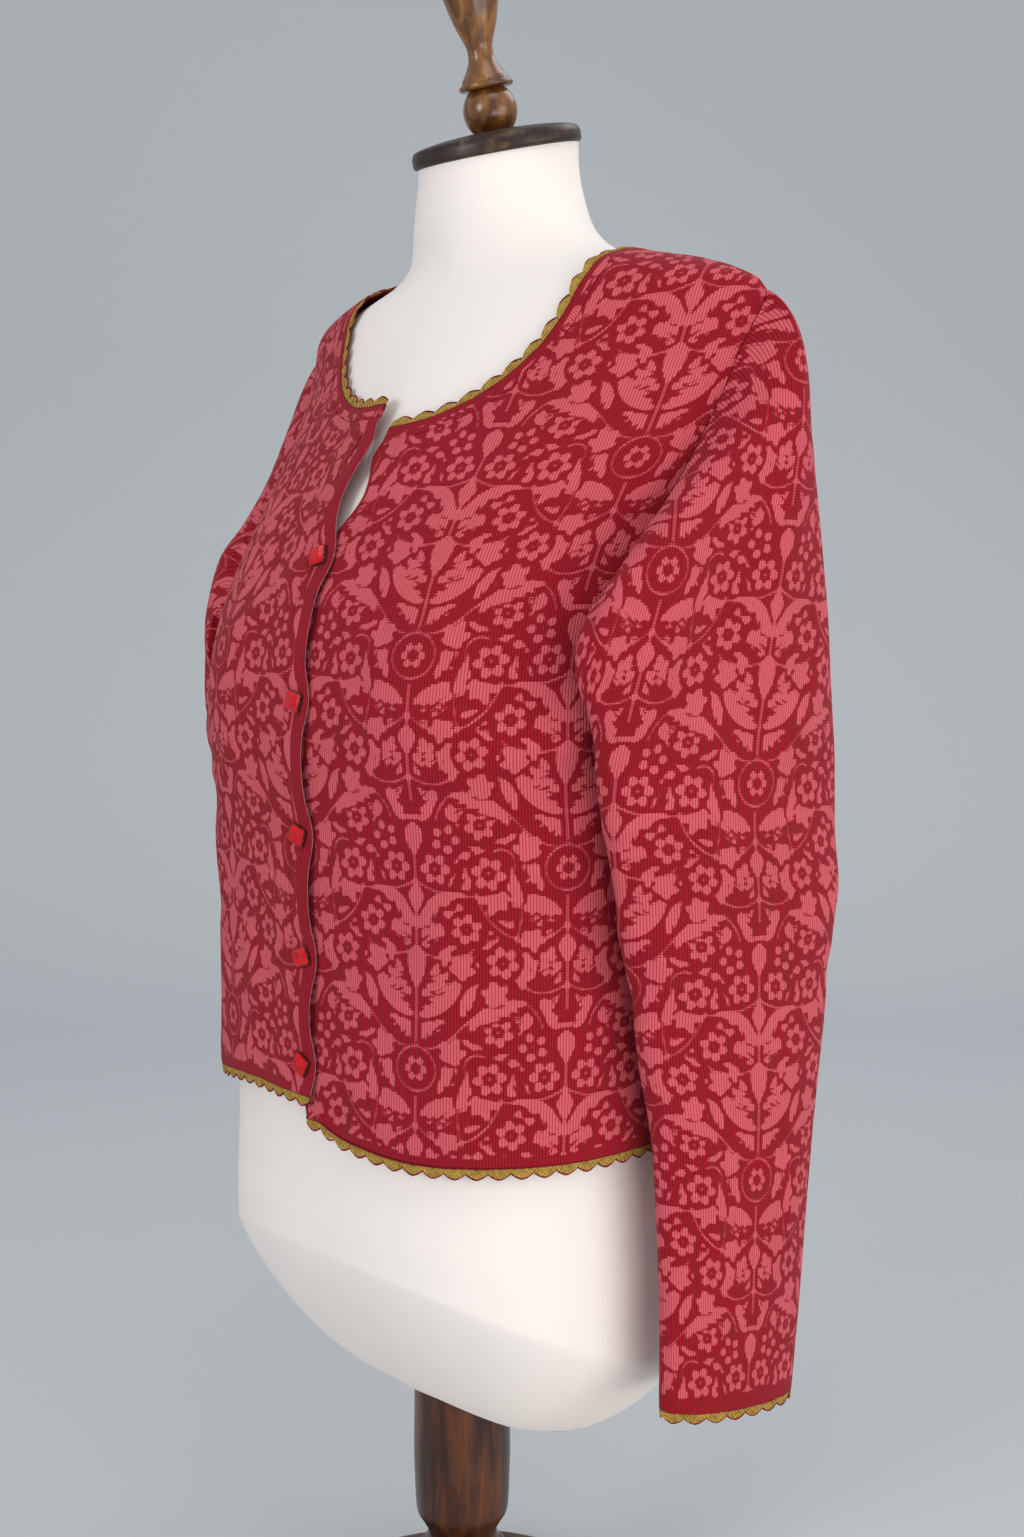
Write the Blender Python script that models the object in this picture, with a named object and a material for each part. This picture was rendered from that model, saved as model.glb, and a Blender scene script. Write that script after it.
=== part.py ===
# A long-sleeved button cardigan worn by a limbless dress form on a turned wooden stand.
# Metres, +Z up. The wearer's front faces -Y and the wearer's left is +X.
# The origin is the centre of the stand's underside.
import bpy
import numpy as np
from math import asin, cos, pi, radians, sin, tan
from mathutils import Matrix, Vector

for old_object in list(bpy.data.objects):
    bpy.data.objects.remove(old_object, do_unlink=True)

# ---- driving dimensions -------------------------------------------------------------
HEM_HEIGHT = 0.400          # the hem's knitted edge above the table
CLOTH = 0.0020              # thickness of the knit
SEAM = 0.0003               # gap left between two pieces
BODICE_UNDERARM = 0.272     # heights above the hem from here on
SHOULDER_TIP = 0.482
SHOULDER_NECK_X = 0.102     # half width of the neck opening on the shoulder line
NECK_FRONT = {"right": 0.421, "left": 0.410}   # neckline at the centre front
NECK_BACK = 0.500
NECK_ROUNDNESS = 2.3
NECKBAND = 0.0080
FRONT_BAND = 0.0160         # width of the plain strips down the two front edges

SCALLOP_TIP = 0.0068        # crochet edge: height at a tooth and between two teeth
SCALLOP_VALLEY = 0.0028
SCALLOP_THICK = 0.0015
HEM_SCALLOPS = 72
NECK_SCALLOPS = 44
CUFF_SCALLOPS = 16

BUTTON_HEIGHTS = (0.334, 0.253, 0.176, 0.104, 0.040)
BUTTON_SIDE = 0.0115
BUTTON_THICK = 0.0052
BUTTON_INSET = 0.0100       # button centre from the overlapping edge
BUTTON_TURNS = (-7, 4, 9, -8, 12)   # degrees, from the top button down
EMPTY_HOLE = (0.391, 0.403)  # the open buttonhole's lower and upper end

CAP_TILT = radians(14.4)    # the neck cap leans to the front
CAP_CENTRE = (0.0346, 0.583)   # y, and height above the hem, of the cap's underside
CAP_RADIUS = 0.0530
FORM_BOTTOM = -0.209        # underside of the form on the stand's axis
FORM_BOTTOM_SLOPE = -0.39   # it rises to the front
FORM_BOTTOM_BOWL = 0.9      # and curves up away from the axis
FORM_RIM = {"deep": 0.072, "wide": 0.076, "power": 1.36}
FORM_SEAT = 0.042           # radius of the flat that stands on the column
COLUMN_RADIUS = 0.0312
BASE_RADIUS = 0.130
BASE_THICK = 0.024

SIDE_ROWS = 7
ARMHOLE_ROWS = (0, 0.11, 0.23, 0.36, 0.51, 0.66, 0.79, 0.88, 0.94, 0.98, 1)
FRONT_COLUMNS = {"neck": 9, "shoulder": 4}
BACK_COLUMNS = {"neck": 7, "shoulder": 5}      # in each half
FORM_SEGMENTS = 36
TURNED_SEGMENTS = 24

# The cloth's outer face as level sections: half width, the line of greatest width,
# front and back depth lines, and the power of the rounded outline (2 is an ellipse).
SECTION_COLUMNS = ("height", "half_width", "centre_y", "front_y", "back_y", "power")
SECTIONS = (
    (-0.210, 0.1630, 0.0000, -0.1320, 0.1060, 2.50),
    (-0.100, 0.1640, 0.0000, -0.1320, 0.1060, 2.50),
    (-0.040, 0.1630, 0.0000, -0.1305, 0.1040, 2.50),
    (0.000, 0.1625, 0.0000, -0.1290, 0.1020, 2.50),
    (0.060, 0.1610, 0.0000, -0.1270, 0.0985, 2.50),
    (0.120, 0.1615, 0.0000, -0.1260, 0.0975, 2.50),
    (0.180, 0.1640, 0.0000, -0.1275, 0.0995, 2.45),
    (0.230, 0.1665, 0.0000, -0.1300, 0.1020, 2.40),
    (0.270, 0.1685, 0.0000, -0.1275, 0.1040, 2.30),
    (0.310, 0.1705, 0.0020, -0.1195, 0.1060, 2.15),
    (0.350, 0.1730, 0.0090, -0.1040, 0.1075, 1.95),
    (0.390, 0.1770, 0.0210, -0.0835, 0.1085, 1.75),
    (0.430, 0.1820, 0.0350, -0.0605, 0.1075, 1.62),
    (0.460, 0.1860, 0.0430, -0.0435, 0.1045, 1.60),
    (0.478, 0.1885, 0.0460, -0.0345, 0.1015, 1.60),
    (0.487, 0.1835, 0.0450, -0.0305, 0.1000, 1.60),
    (0.495, 0.1690, 0.0425, -0.0270, 0.0975, 1.60),
    (0.503, 0.1450, 0.0400, -0.0240, 0.0950, 1.60),
    (0.511, 0.1100, 0.0380, -0.0210, 0.0920, 1.62),
    (0.518, 0.0890, 0.0365, -0.0190, 0.0900, 1.68),
    (0.528, 0.0740, 0.0360, -0.0175, 0.0885, 1.80),
    (0.540, 0.0640, 0.0360, -0.0165, 0.0875, 1.92),
    (0.556, 0.0560, 0.0355, -0.0160, 0.0870, 2.00),
    (0.575, 0.0515, 0.0350, -0.0160, 0.0860, 2.00),
    (0.610, 0.0515, 0.0340, -0.0170, 0.0850, 2.00),
)
BUST = {"x": 0.088, "height": 0.262, "spread_x": 0.046, "spread_z": 0.062, "swell": 0.0065}

# The shoulders sit a little to the wearer's left of the stand's axis.
SWAY_COLUMNS = ("height", "shift")
SWAY = ((0.24, 0.0), (0.33, 0.002), (0.40, 0.007), (0.48, 0.009), (0.511, 0.012), (0.537, 0.003),
        (0.56, 0.0))

# The hem's rise above its level, over the flat distance from the centre front.
HEM_COLUMNS = ("across", "rise")
HEM = {
    "right": ((0.0, 0.0225), (0.06, 0.0205), (0.13, 0.0100), (0.20, 0.0)),
    "left": ((-0.010, 0.0175), (0.0, 0.0150), (0.015, 0.0070), (0.035, 0.0010), (0.085, -0.0035),
             (0.150, -0.0010), (0.20, 0.0)),
}

# How far the form's surface lies inside the cloth's outer face.
FORM_GAP_COLUMNS = ("height", "inset")
FORM_GAP = (
    (-0.210, 0.0120), (-0.060, 0.0115), (0.000, 0.0115), (0.060, 0.0135), (0.120, 0.0145),
    (0.180, 0.0080), (0.230, 0.0042), (0.290, 0.0040), (0.340, 0.0042), (0.460, 0.0042),
    (0.485, 0.0044), (0.505, 0.0060), (0.520, 0.0045), (0.545, 0.0020), (0.610, 0.0010),
)

# The armhole: how far it lies in front of and behind the line of greatest width.
ARMHOLE_COLUMNS = ("share", "forward", "backward")
ARMHOLE = (
    (0.00, 0.000, 0.000), (0.04, 0.038, 0.022), (0.09, 0.054, 0.031), (0.16, 0.057, 0.038),
    (0.29, 0.038, 0.042), (0.45, 0.024, 0.040), (0.65, 0.014, 0.032), (0.85, 0.008, 0.018),
    (1.00, 0.000, 0.000),
)

# The sleeve below the underarm: centre, half thickness, half width and turn of each
# flattened level section.
SLEEVE_COLUMNS = ("height", "centre_x", "centre_y", "half_thick", "half_wide", "turn")
SLEEVE = (
    (0.190, 0.1965, 0.0150, 0.0250, 0.0815, 12.0),
    (0.130, 0.1945, 0.0255, 0.0240, 0.0760, 13.0),
    (0.060, 0.1945, 0.0290, 0.0230, 0.0655, 14.0),
    (0.000, 0.1945, 0.0320, 0.0210, 0.0570, 14.0),
    (-0.080, 0.1945, 0.0315, 0.0190, 0.0520, 13.0),
    (-0.155, 0.1935, 0.0295, 0.0175, 0.0490, 12.0),
)
SLEEVE_FOLD = {"left": 1.9, "right": 1.10}   # how far the fold before the underarm swells forward
SLEEVE_SET_BACK = {"left": 0.0, "right": 0.008}
CUFF_TILT = 0.11            # the cuff hangs lower at the back
SLEEVE_UPPER_RINGS = 7
SLEEVE_LOWER_RINGS = 7

WOOL = ("knit", (0.36, 0.02, 0.04), 0.9, 0.0)
GOLD = ("crochet", (0.40, 0.27, 0.06), 0.9, 0.0)
RED_GLAZE = ("button_glaze", (0.55, 0.02, 0.02), 0.2, 0.0)
JERSEY = ("jersey", (0.80, 0.77, 0.74), 0.9, 0.0)
DARK_WOOD = ("dark_wood", (0.06, 0.025, 0.012), 0.4, 0.0)
LIGHT_WOOD = ("light_wood", (0.28, 0.12, 0.035), 0.35, 0.0)


# ---- curves and tables --------------------------------------------------------------
def smooth_table(keys, values):
    """A smooth curve through a table's rows that never overshoots them."""
    keys, values = np.asarray(keys, float), np.asarray(values, float)
    step = np.diff(keys)
    slope = np.diff(values) / step
    ahead, behind = slope[1:], slope[:-1]
    inner = np.where(ahead * behind > 0, 2 * ahead * behind / (ahead + behind + 1e-30), 0)
    tangent = np.concatenate([slope[:1], inner, slope[-1:]])

    def curve(x):
        x = np.clip(np.asarray(x, float), keys[0], keys[-1])
        i = np.clip(np.searchsorted(keys, x, side="right") - 1, 0, len(step) - 1)
        s, h = (x - keys[i]) / step[i], step[i]
        return ((1 + 2 * s) * (1 - s) ** 2 * values[i] + s * (1 - s) ** 2 * h * tangent[i]
                + s * s * (3 - 2 * s) * values[i + 1] - s * s * (1 - s) * h * tangent[i + 1])

    return curve


def table_curves(columns, rows):
    """One smooth curve for each column after the first."""
    data = np.array(rows, float)
    data = data[np.argsort(data[:, 0])]
    return {name: smooth_table(data[:, 0], data[:, i + 1]) for i, name in enumerate(columns[1:])}


SECTION = table_curves(SECTION_COLUMNS, SECTIONS)
FORM_INSET = table_curves(FORM_GAP_COLUMNS, FORM_GAP)["inset"]
ARMHOLE_CURVE = table_curves(ARMHOLE_COLUMNS, ARMHOLE)
SLEEVE_CURVE = table_curves(SLEEVE_COLUMNS, SLEEVE)
SWAY_SHIFT = table_curves(SWAY_COLUMNS, SWAY)["shift"]
HEM_RISE = {side: table_curves(HEM_COLUMNS, rows)["rise"] for side, rows in HEM.items()}


def ease(x, start, end):
    """0 before start, 1 after end, smooth between them (start may be the larger)."""
    s = np.clip((np.asarray(x, float) - start) / (end - start), 0, 1)
    return s * s * (3 - 2 * s)


def along_polyline(values, stations):
    """Values at fractional vertex numbers of a polyline."""
    index = np.arange(len(values))
    return np.stack([np.interp(stations, index, values[:, k]) for k in range(values.shape[1])], -1)


def stations_at(line, shares):
    """Fractional vertex numbers of a polyline at given shares of its length."""
    length = np.concatenate([[0], np.cumsum(np.linalg.norm(np.diff(line, axis=0), axis=1))])
    return np.interp(np.asarray(shares) * length[-1], length, np.arange(len(line)))


def resample(line, count):
    """Points evenly spaced along a polyline, in any number of dimensions."""
    return along_polyline(line, stations_at(line, np.linspace(0, 1, count)))


def unit(v):
    return v / np.maximum(np.linalg.norm(v, axis=-1, keepdims=True), 1e-12)


# ---- the body's surface -------------------------------------------------------------
def depth_at(x, height, back):
    """The y of the front or back face over a point of the frontal plane."""
    a, power = SECTION["half_width"](height), SECTION["power"](height)
    centre = SECTION["centre_y"](height)
    edge = SECTION["back_y"](height) if back else SECTION["front_y"](height)
    share = np.clip(1 - np.clip(np.abs(x) / a, 0, 1) ** power, 0, 1) ** (1 / power)
    return centre + (edge - centre) * share


def outward(x, y, height):
    """The outward normal of the sections' surface, from its implicit equation."""
    def level(h):
        centre = SECTION["centre_y"](h)
        reach = np.where(y < centre, centre - SECTION["front_y"](h), SECTION["back_y"](h) - centre)
        power = SECTION["power"](h)
        return ((np.abs(x) / SECTION["half_width"](h)) ** power
                + (np.abs(y - centre) / reach) ** power), reach, centre, power

    value, reach, centre, power = level(height)
    a = SECTION["half_width"](height)
    step = 0.0015
    gx = power / a * (np.abs(x) / a) ** (power - 1) * np.sign(x)
    gy = power / reach * (np.abs(y - centre) / reach) ** (power - 1) * np.sign(y - centre)
    gz = (level(height + step)[0] - level(height - step)[0]) / (2 * step)
    return unit(np.stack([gx, gy, gz], -1))


def bust_swell(x, y, height):
    """Extra fullness over the bust, on the front only."""
    front = ease(y, 0.0, -0.05)
    return front * BUST["swell"] * np.exp(
        -((np.abs(x) - BUST["x"]) / BUST["spread_x"]) ** 2
        - ((height - BUST["height"]) / BUST["spread_z"]) ** 2)


def place(x, y, height, offset=0.0):
    """A point of the body's surface, moved out by offset, and its normal."""
    normal = outward(x, y, height)
    out = bust_swell(x, y, height) + offset
    point = np.stack([x + SWAY_SHIFT(height), y, height + HEM_HEIGHT], -1)
    point = point + normal * np.asarray(out)[..., None]
    return point, normal


class FlatHalf:
    """The front or back half laid flat: width along the level section, and height."""

    def __init__(self, back):
        self.back = back
        self.heights = np.arange(-0.06, 0.60, 0.004)
        turn = np.linspace(0, pi / 2, 73)
        self.share = np.sin(turn)
        rows = []
        for h in self.heights:
            power = SECTION["power"](h)
            x = SECTION["half_width"](h) * self.share ** (2 / power)
            y = depth_at(x, h, back)
            rows.append(np.concatenate([[0], np.cumsum(np.hypot(np.diff(x), np.diff(y)))]))
        self.length = np.array(rows)

    def _row(self, h):
        f = np.clip((h - self.heights[0]) / 0.004, 0, len(self.heights) - 1.001)
        i = int(f)
        return self.length[i] * (1 - f + i) + self.length[i + 1] * (f - i)

    def full(self, h):
        """Width from the centre line to the side line."""
        return np.array([self._row(v)[-1] for v in np.ravel(h)]).reshape(np.shape(h))

    def width_of(self, x, h):
        """Flat width of the point at x."""
        out = []
        for xi, hi in zip(np.ravel(x), np.ravel(h)):
            a, power = SECTION["half_width"](hi), SECTION["power"](hi)
            share = np.clip(abs(xi) / a, 0, 1) ** (power / 2)
            out.append(np.sign(xi) * np.interp(share, self.share, self._row(hi)))
        return np.array(out).reshape(np.shape(x))

    def spot(self, w, h):
        """x and y over a flat width and height."""
        xs = []
        for wi, hi in zip(np.ravel(w), np.ravel(h)):
            share = np.interp(abs(wi), self._row(hi), self.share)
            xs.append(np.sign(wi) * SECTION["half_width"](hi) * share ** (2 / SECTION["power"](hi)))
        x = np.array(xs).reshape(np.shape(w))
        return x, depth_at(x, h, self.back)


FRONT, BACK = FlatHalf(False), FlatHalf(True)


def ridge_height(x):
    """Height of the shoulder line over x."""
    heights = np.linspace(0.478, 0.575, 200)
    return np.interp(-np.asarray(x, float), -SECTION["half_width"](heights), heights)


def neck_line(side, inset, turn):
    """The neckline in the frontal plane; inset moves it down into the cloth."""
    low = NECK_FRONT.get(side, NECK_BACK) - inset
    side_x = SHOULDER_NECK_X + inset
    side_h = ridge_height(side_x)
    x = side_x * np.sin(turn) ** (2 / NECK_ROUNDNESS)
    return x, side_h - (side_h - low) * np.cos(turn) ** (2 / NECK_ROUNDNESS)


def armhole_line(half, share):
    """The armhole from the underarm (0) to the shoulder tip (1), in flat width and height."""
    height = BODICE_UNDERARM + (SHOULDER_TIP - BODICE_UNDERARM) * np.asarray(share, float)
    reach = ARMHOLE_CURVE["backward" if half.back else "forward"](share)
    return np.stack([half.full(height) - reach, height], -1)


# ---- closures down the front --------------------------------------------------------
def over_edge(height, pulled=True):
    """How far the overlapping right front reaches past the centre, towards the left."""
    pull = pulled * sum(np.exp(-((height - b) / 0.016) ** 2) for b in BUTTON_HEIGHTS)
    return 0.0085 + 0.0035 * pull - 0.0070 * np.exp(-((height - 0.375) / 0.024) ** 2)


def under_edge(height, pulled=True):
    """How far the left front reaches past the centre; it falls open at the top and the hem."""
    return 0.0090 - 0.0220 * ease(height, 0.325, 0.372) - 0.0110 * ease(height, 0.050, 0.0)


def over_lift(w, height):
    """Height of the right front above the left front, over flat width from its centre."""
    lap = (CLOTH + 0.0009) * ease(w, 0.045, 0.016)
    between = 1 - np.clip(sum(np.exp(-((height - b) / 0.018) ** 2) for b in BUTTON_HEIGHTS), 0, 1)
    puff = 0.0028 * between * ease(w, 0.030, -0.008)
    curl = 0.0050 * np.exp(-((height - 0.385) / 0.026) ** 2) * ease(w, 0.018, -0.006)
    return lap + puff + curl


# ---- walls --------------------------------------------------------------------------
def material(kind):
    name, colour, roughness, metallic = kind
    made = bpy.data.materials.get(name)
    if made is None:
        made = bpy.data.materials.new(name)
        made.use_nodes = True
        shader = made.node_tree.nodes["Principled BSDF"]
        shader.inputs["Base Color"].default_value = (*colour, 1)
        shader.inputs["Roughness"].default_value = roughness
        shader.inputs["Metallic"].default_value = metallic
    return made


def add_mesh(name, vertices, faces, kind, smooth=True):
    mesh = bpy.data.meshes.new(name)
    mesh.from_pydata([tuple(v) for v in vertices], [], faces)
    mesh.validate()
    mesh.materials.append(material(kind))
    if smooth:
        mesh.shade_smooth()
        mesh.set_sharp_from_angle(angle=radians(40))
    thing = bpy.data.objects.new(name, mesh)
    bpy.context.scene.collection.objects.link(thing)
    return thing


def add_wall(name, outer, inner, kind, around=False, skip=()):
    """A closed wall between two grids of points; skip names cells left open."""
    rows, columns = outer.shape[:2]
    count = rows * columns
    cells = [(r, c) for r in range(rows - 1) for c in range(columns if around else columns - 1)
             if (r, c) not in skip]
    def corners(r, c):
        d = (c + 1) % columns
        return (r * columns + c, r * columns + d, (r + 1) * columns + d, (r + 1) * columns + c)
    faces, edges = [], set()
    for cell in cells:
        ring = corners(*cell)
        faces.append(ring)
        faces.append(tuple(v + count for v in reversed(ring)))
        edges.update(zip(ring, ring[1:] + ring[:1]))
    for a, b in sorted(edges):
        if (b, a) not in edges:
            faces.append((b, a, a + count, b + count))
    points = np.concatenate([outer.reshape(-1, 3), inner.reshape(-1, 3)])
    used = sorted({v for face in faces for v in face})
    index = {v: i for i, v in enumerate(used)}
    faces = [tuple(index[v] for v in face) for face in faces]
    thing = add_mesh(name, points[used], faces, kind)
    face_outwards(thing)
    return thing


def face_outwards(thing):
    """Turn the faces round if the closed solid is inside out."""
    mesh = thing.data
    volume = sum(Vector(mesh.vertices[t.vertices[0]].co).dot(
        Vector(mesh.vertices[t.vertices[1]].co).cross(mesh.vertices[t.vertices[2]].co))
        for t in loop_triangles(mesh))
    if volume < 0:
        mesh.flip_normals()


def loop_triangles(mesh):
    mesh.calc_loop_triangles()
    return mesh.loop_triangles


def coons(bottom, top, left, right):
    """A grid filled in between four edges, rows upwards."""
    u = np.linspace(0, 1, len(bottom))[None, :, None]
    v = np.linspace(0, 1, len(left))[:, None, None]
    return ((1 - v) * bottom[None] + v * top[None] + (1 - u) * left[:, None] + u * right[:, None]
            - ((1 - u) * (1 - v) * bottom[0] + u * (1 - v) * bottom[-1]
               + (1 - u) * v * top[0] + u * v * top[-1]))


# ---- fronts and back ----------------------------------------------------------------
def neck_flat(half, side, inset, start):
    """The neckline in flat coordinates, from a starting width to the shoulder."""
    x, h = neck_line(side, inset, np.linspace(0, pi / 2, 160))
    line = np.stack([half.width_of(x, h), h], -1)
    corner = [start, np.interp(start, line[:, 0], line[:, 1])]
    return np.concatenate([[corner], line[line[:, 0] > start]])


def panel_grid(half, inner_edge, side):
    """Flat width and height of a half panel: rows upwards, columns to the side seam."""
    columns = BACK_COLUMNS if half.back else FRONT_COLUMNS
    edge = SEAM / 2
    # neckline, from the panel's inner edge to the shoulder
    low = NECK_FRONT.get(side, NECK_BACK) - NECKBAND - edge
    neck = resample(neck_flat(half, side, NECKBAND + edge, inner_edge(low)), columns["neck"] + 1)
    neck[-1, 0] -= edge
    # shoulder seam, from the neck to the tip
    h = np.linspace(neck[-1, 1], SHOULDER_TIP, 60)
    shoulder = np.stack([half.full(h) - edge, h], -1)
    top = np.concatenate([neck[:-1], resample(shoulder, columns["shoulder"] + 1)])
    # armhole and side seam
    armhole = armhole_line(half, np.linspace(0, 1, 80))
    armhole[:, 0] -= edge
    armhole = along_polyline(armhole, stations_at(armhole, ARMHOLE_ROWS))
    armhole[-1] = top[-1]
    h = np.linspace(0, BODICE_UNDERARM, SIDE_ROWS + 1)[:-1]
    right = np.concatenate([np.stack([half.full(h) - edge, h], -1), armhole])
    # inner edge
    rise = (lambda w: 0 * w) if half.back else HEM_RISE[side]
    h = rise(inner_edge(0.02)) + (top[0, 1] - rise(inner_edge(0.02))) * right[:, 1] / SHOULDER_TIP
    left = np.stack([inner_edge(h) * np.ones_like(h), h], -1)
    left[-1] = top[0]
    w = np.linspace(left[0, 0], right[0, 0], len(top))
    bottom = np.stack([w, rise(w)], -1)
    bottom[:, 1] += np.linspace(left[0, 1] - bottom[0, 1], -bottom[-1, 1], len(w))
    return coons(bottom, top, left, right)


def armpit_fold(w_share, height):
    """Soft folds that run from the underarm towards the bust."""
    along = ease(w_share, 0.40, 0.72) * ease(w_share, 0.98, 0.84)
    first = 0.0035 * np.exp(-((height - 0.235 - 0.10 * (w_share - 0.7)) / 0.018) ** 2)
    second = 0.0025 * np.exp(-((height - 0.175 - 0.16 * (w_share - 0.7)) / 0.022) ** 2)
    return along * (first + second)


def sheet_points(half, sign, w, h, lift):
    """Outer and inner face of cloth over flat coordinates on one side of the body."""
    x, y = half.spot(w, h)
    outer, normal = place(sign * x, y, h, lift)
    return outer, outer - normal * CLOTH, normal


def front_piece(side):
    sign = 1 if side == "left" else -1
    reach = under_edge if side == "left" else over_edge
    grid = panel_grid(FRONT, lambda h: FRONT_BAND + SEAM - reach(h, False), side)
    w, h = grid[..., 0], grid[..., 1]
    share = w / FRONT.full(h)
    lift = armpit_fold(share, h)
    if side == "right":
        lift = lift + over_lift(w, h)
    outer, inner, normal = sheet_points(FRONT, sign, w, h, lift)
    add_wall("front_" + side, outer, inner, WOOL)
    return {"outer": outer, "inner": inner, "normal": normal, "w": w, "h": h}


def back_piece():
    grid = panel_grid(BACK, lambda h: 0.0 * h, "back")
    w, h = grid[..., 0], grid[..., 1]
    lift = armpit_fold(w / BACK.full(h), h)
    faces = [sheet_points(BACK, sign, w, h, lift) for sign in (-1, 1)]
    outer, inner, normal = (np.concatenate([faces[0][k][:, :0:-1], faces[1][k]], axis=1)
                            for k in range(3))
    add_wall("back", outer, inner, WOOL)
    return {"outer": outer, "inner": inner, "normal": normal}


# ---- strips along an edge -----------------------------------------------------------
def front_band(side, panel):
    """The plain strip down a front edge, made from the panel's own edge points."""
    sign = 1 if side == "left" else -1
    reach = under_edge if side == "left" else over_edge
    edge_heights = panel["h"][:, 0]
    between = (edge_heights[1:] + edge_heights[:-1]) / 2
    rows = np.sort(np.concatenate([edge_heights, between[np.diff(edge_heights) > 0.012]]))
    if side == "right":
        near_hole = (rows > EMPTY_HOLE[0] - 0.003) & (rows < EMPTY_HOLE[1] + 0.003)
        rows = np.sort(np.concatenate([rows[~near_hole | np.isin(rows, edge_heights)], EMPTY_HOLE]))
    shares = np.array([0.0, 0.66, 0.80, 1.0]) if side == "right" else np.array([0.0, 0.5, 1.0])
    stations = np.interp(rows, edge_heights, np.arange(len(edge_heights)))
    seam_outer = along_polyline(panel["outer"][:, 0], stations)
    seam_inner = along_polyline(panel["inner"][:, 0], stations)
    edge = -reach(rows)[:, None]
    seam = np.interp(rows, edge_heights, panel["w"][:, 0])[:, None] - SEAM
    w = edge + (seam - edge) * shares[None, :]
    h = np.repeat(rows[:, None], len(shares), 1)
    lift = over_lift(w, h) if side == "right" else 0 * w
    outer, inner, _ = sheet_points(FRONT, sign, w, h, lift)
    aside = unit(outer[:, -2] - seam_outer) * SEAM
    outer[:, -1], inner[:, -1] = seam_outer + aside, seam_inner + aside
    hole = [(r, 1) for r in range(len(rows) - 1) if side == "right"
            and rows[r] > EMPTY_HOLE[0] - 1e-6 and rows[r + 1] < EMPTY_HOLE[1] + 1e-6]
    name = "buttonhole_band" if side == "right" else "button_band"
    add_wall(name, outer, inner, WOOL, skip=hole)
    return {"outer": outer, "inner": inner, "w": w, "h": h}


def neck_side(side, panel, band):
    """Lower and upper edge of the neckband over one front, from the front edge outwards."""
    sign = 1 if side == "left" else -1
    count = FRONT_COLUMNS["neck"] + 1
    low_outer, low_inner = (np.concatenate([band[k][-1, :-1], panel[k][-1, :count]])
                            for k in ("outer", "inner"))
    line = neck_flat(FRONT, side, 0.0, band["w"][-1, 0])
    over_band = band["w"][-1, :-1]
    over_band = np.stack([over_band, np.interp(over_band, line[:, 0], line[:, 1])], -1)
    over_panel = resample(neck_flat(FRONT, side, 0.0, panel["w"][-1, 0]), count)
    flat = np.concatenate([over_band, over_panel])
    lift = over_lift(flat[:, 0], flat[:, 1]) if side == "right" else 0 * flat[:, 0]
    return (low_outer, low_inner) + sheet_points(FRONT, sign, flat[:, 0], flat[:, 1], lift)


def neckband_piece(fronts, bands, back):
    """The plain band round the neckline, standing on the panels' own top edges."""
    right, left = (neck_side(side, fronts[side], bands[side]) for side in ("right", "left"))
    skip = BACK_COLUMNS["shoulder"]
    flat = resample(neck_flat(BACK, "back", 0.0, 0.0), BACK_COLUMNS["neck"] + 1)
    halves = [sheet_points(BACK, sign, flat[:, 0], flat[:, 1], 0 * flat[:, 0]) for sign in (-1, 1)]
    behind = ([back[k][-1, skip:-skip] for k in ("outer", "inner")]
              + [np.concatenate([halves[0][k][:0:-1], halves[1][k]]) for k in range(3)])
    lines = []
    for k in range(5):
        at_right, at_left = (right[k][-1] + behind[k][0]) / 2, (left[k][-1] + behind[k][-1]) / 2
        lines.append(np.concatenate([right[k][:-1], [at_right], behind[k][1:-1], [at_left],
                                     left[k][-2::-1]]))
    low_outer, low_inner, top_outer, top_inner, normal = lines
    way = unit(top_outer - low_outer)
    add_wall("neckband", np.stack([low_outer + way * 2 * SEAM, top_outer]),
             np.stack([low_inner + way * 2 * SEAM, top_inner]), WOOL)
    scallop_strip("neck_trim", top_outer, way, normal, NECK_SCALLOPS)


def scallop_heights(count):
    """Station numbers along an edge and the height of the crochet edge at each."""
    height = np.full(2 * count + 1, SCALLOP_VALLEY)
    height[1::2] = SCALLOP_TIP
    return np.linspace(0, 1, 2 * count + 1), height


def scallop_strip(name, base, outward_way, normal, count, around=False):
    """A toothed strip that stands on an edge, in line with the cloth."""
    at, height = scallop_heights(count)
    if around:
        at, height = at[:-1], height[:-1]
        base, outward_way, normal = (np.concatenate([a, a[:1]]) for a in (base, outward_way, normal))
    stations = stations_at(base, at)
    foot = along_polyline(base, stations)
    way = unit(along_polyline(outward_way, stations))
    face = unit(along_polyline(normal, stations))
    foot = foot + way * SEAM - face * (CLOTH - SCALLOP_THICK) / 2
    tip = foot + way * height[:, None]
    outer = np.stack([foot, tip])
    inner = outer - face[None] * SCALLOP_THICK
    add_wall(name, outer, inner, GOLD, around=around)


# ---- sleeves ------------------------------------------------------------------------
def sleeve_ring(height, around, set_back):
    """A ring of the hanging sleeve at angles counted from its outer side through its front."""
    c = {name: float(curve(height)) for name, curve in SLEEVE_CURVE.items()}
    turn = radians(c["turn"])
    thick, wide = c["half_thick"] * np.cos(around), -c["half_wide"] * np.sin(around)
    x = c["centre_x"] + thick * cos(turn) + wide * sin(turn)
    y = c["centre_y"] - thick * sin(turn) + wide * cos(turn)
    droop = CUFF_TILT * ease(height, 0.0, SLEEVE[-1][0]) * (y - c["centre_y"])
    return np.stack([x, y + set_back, height + HEM_HEIGHT - droop], -1)


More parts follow.
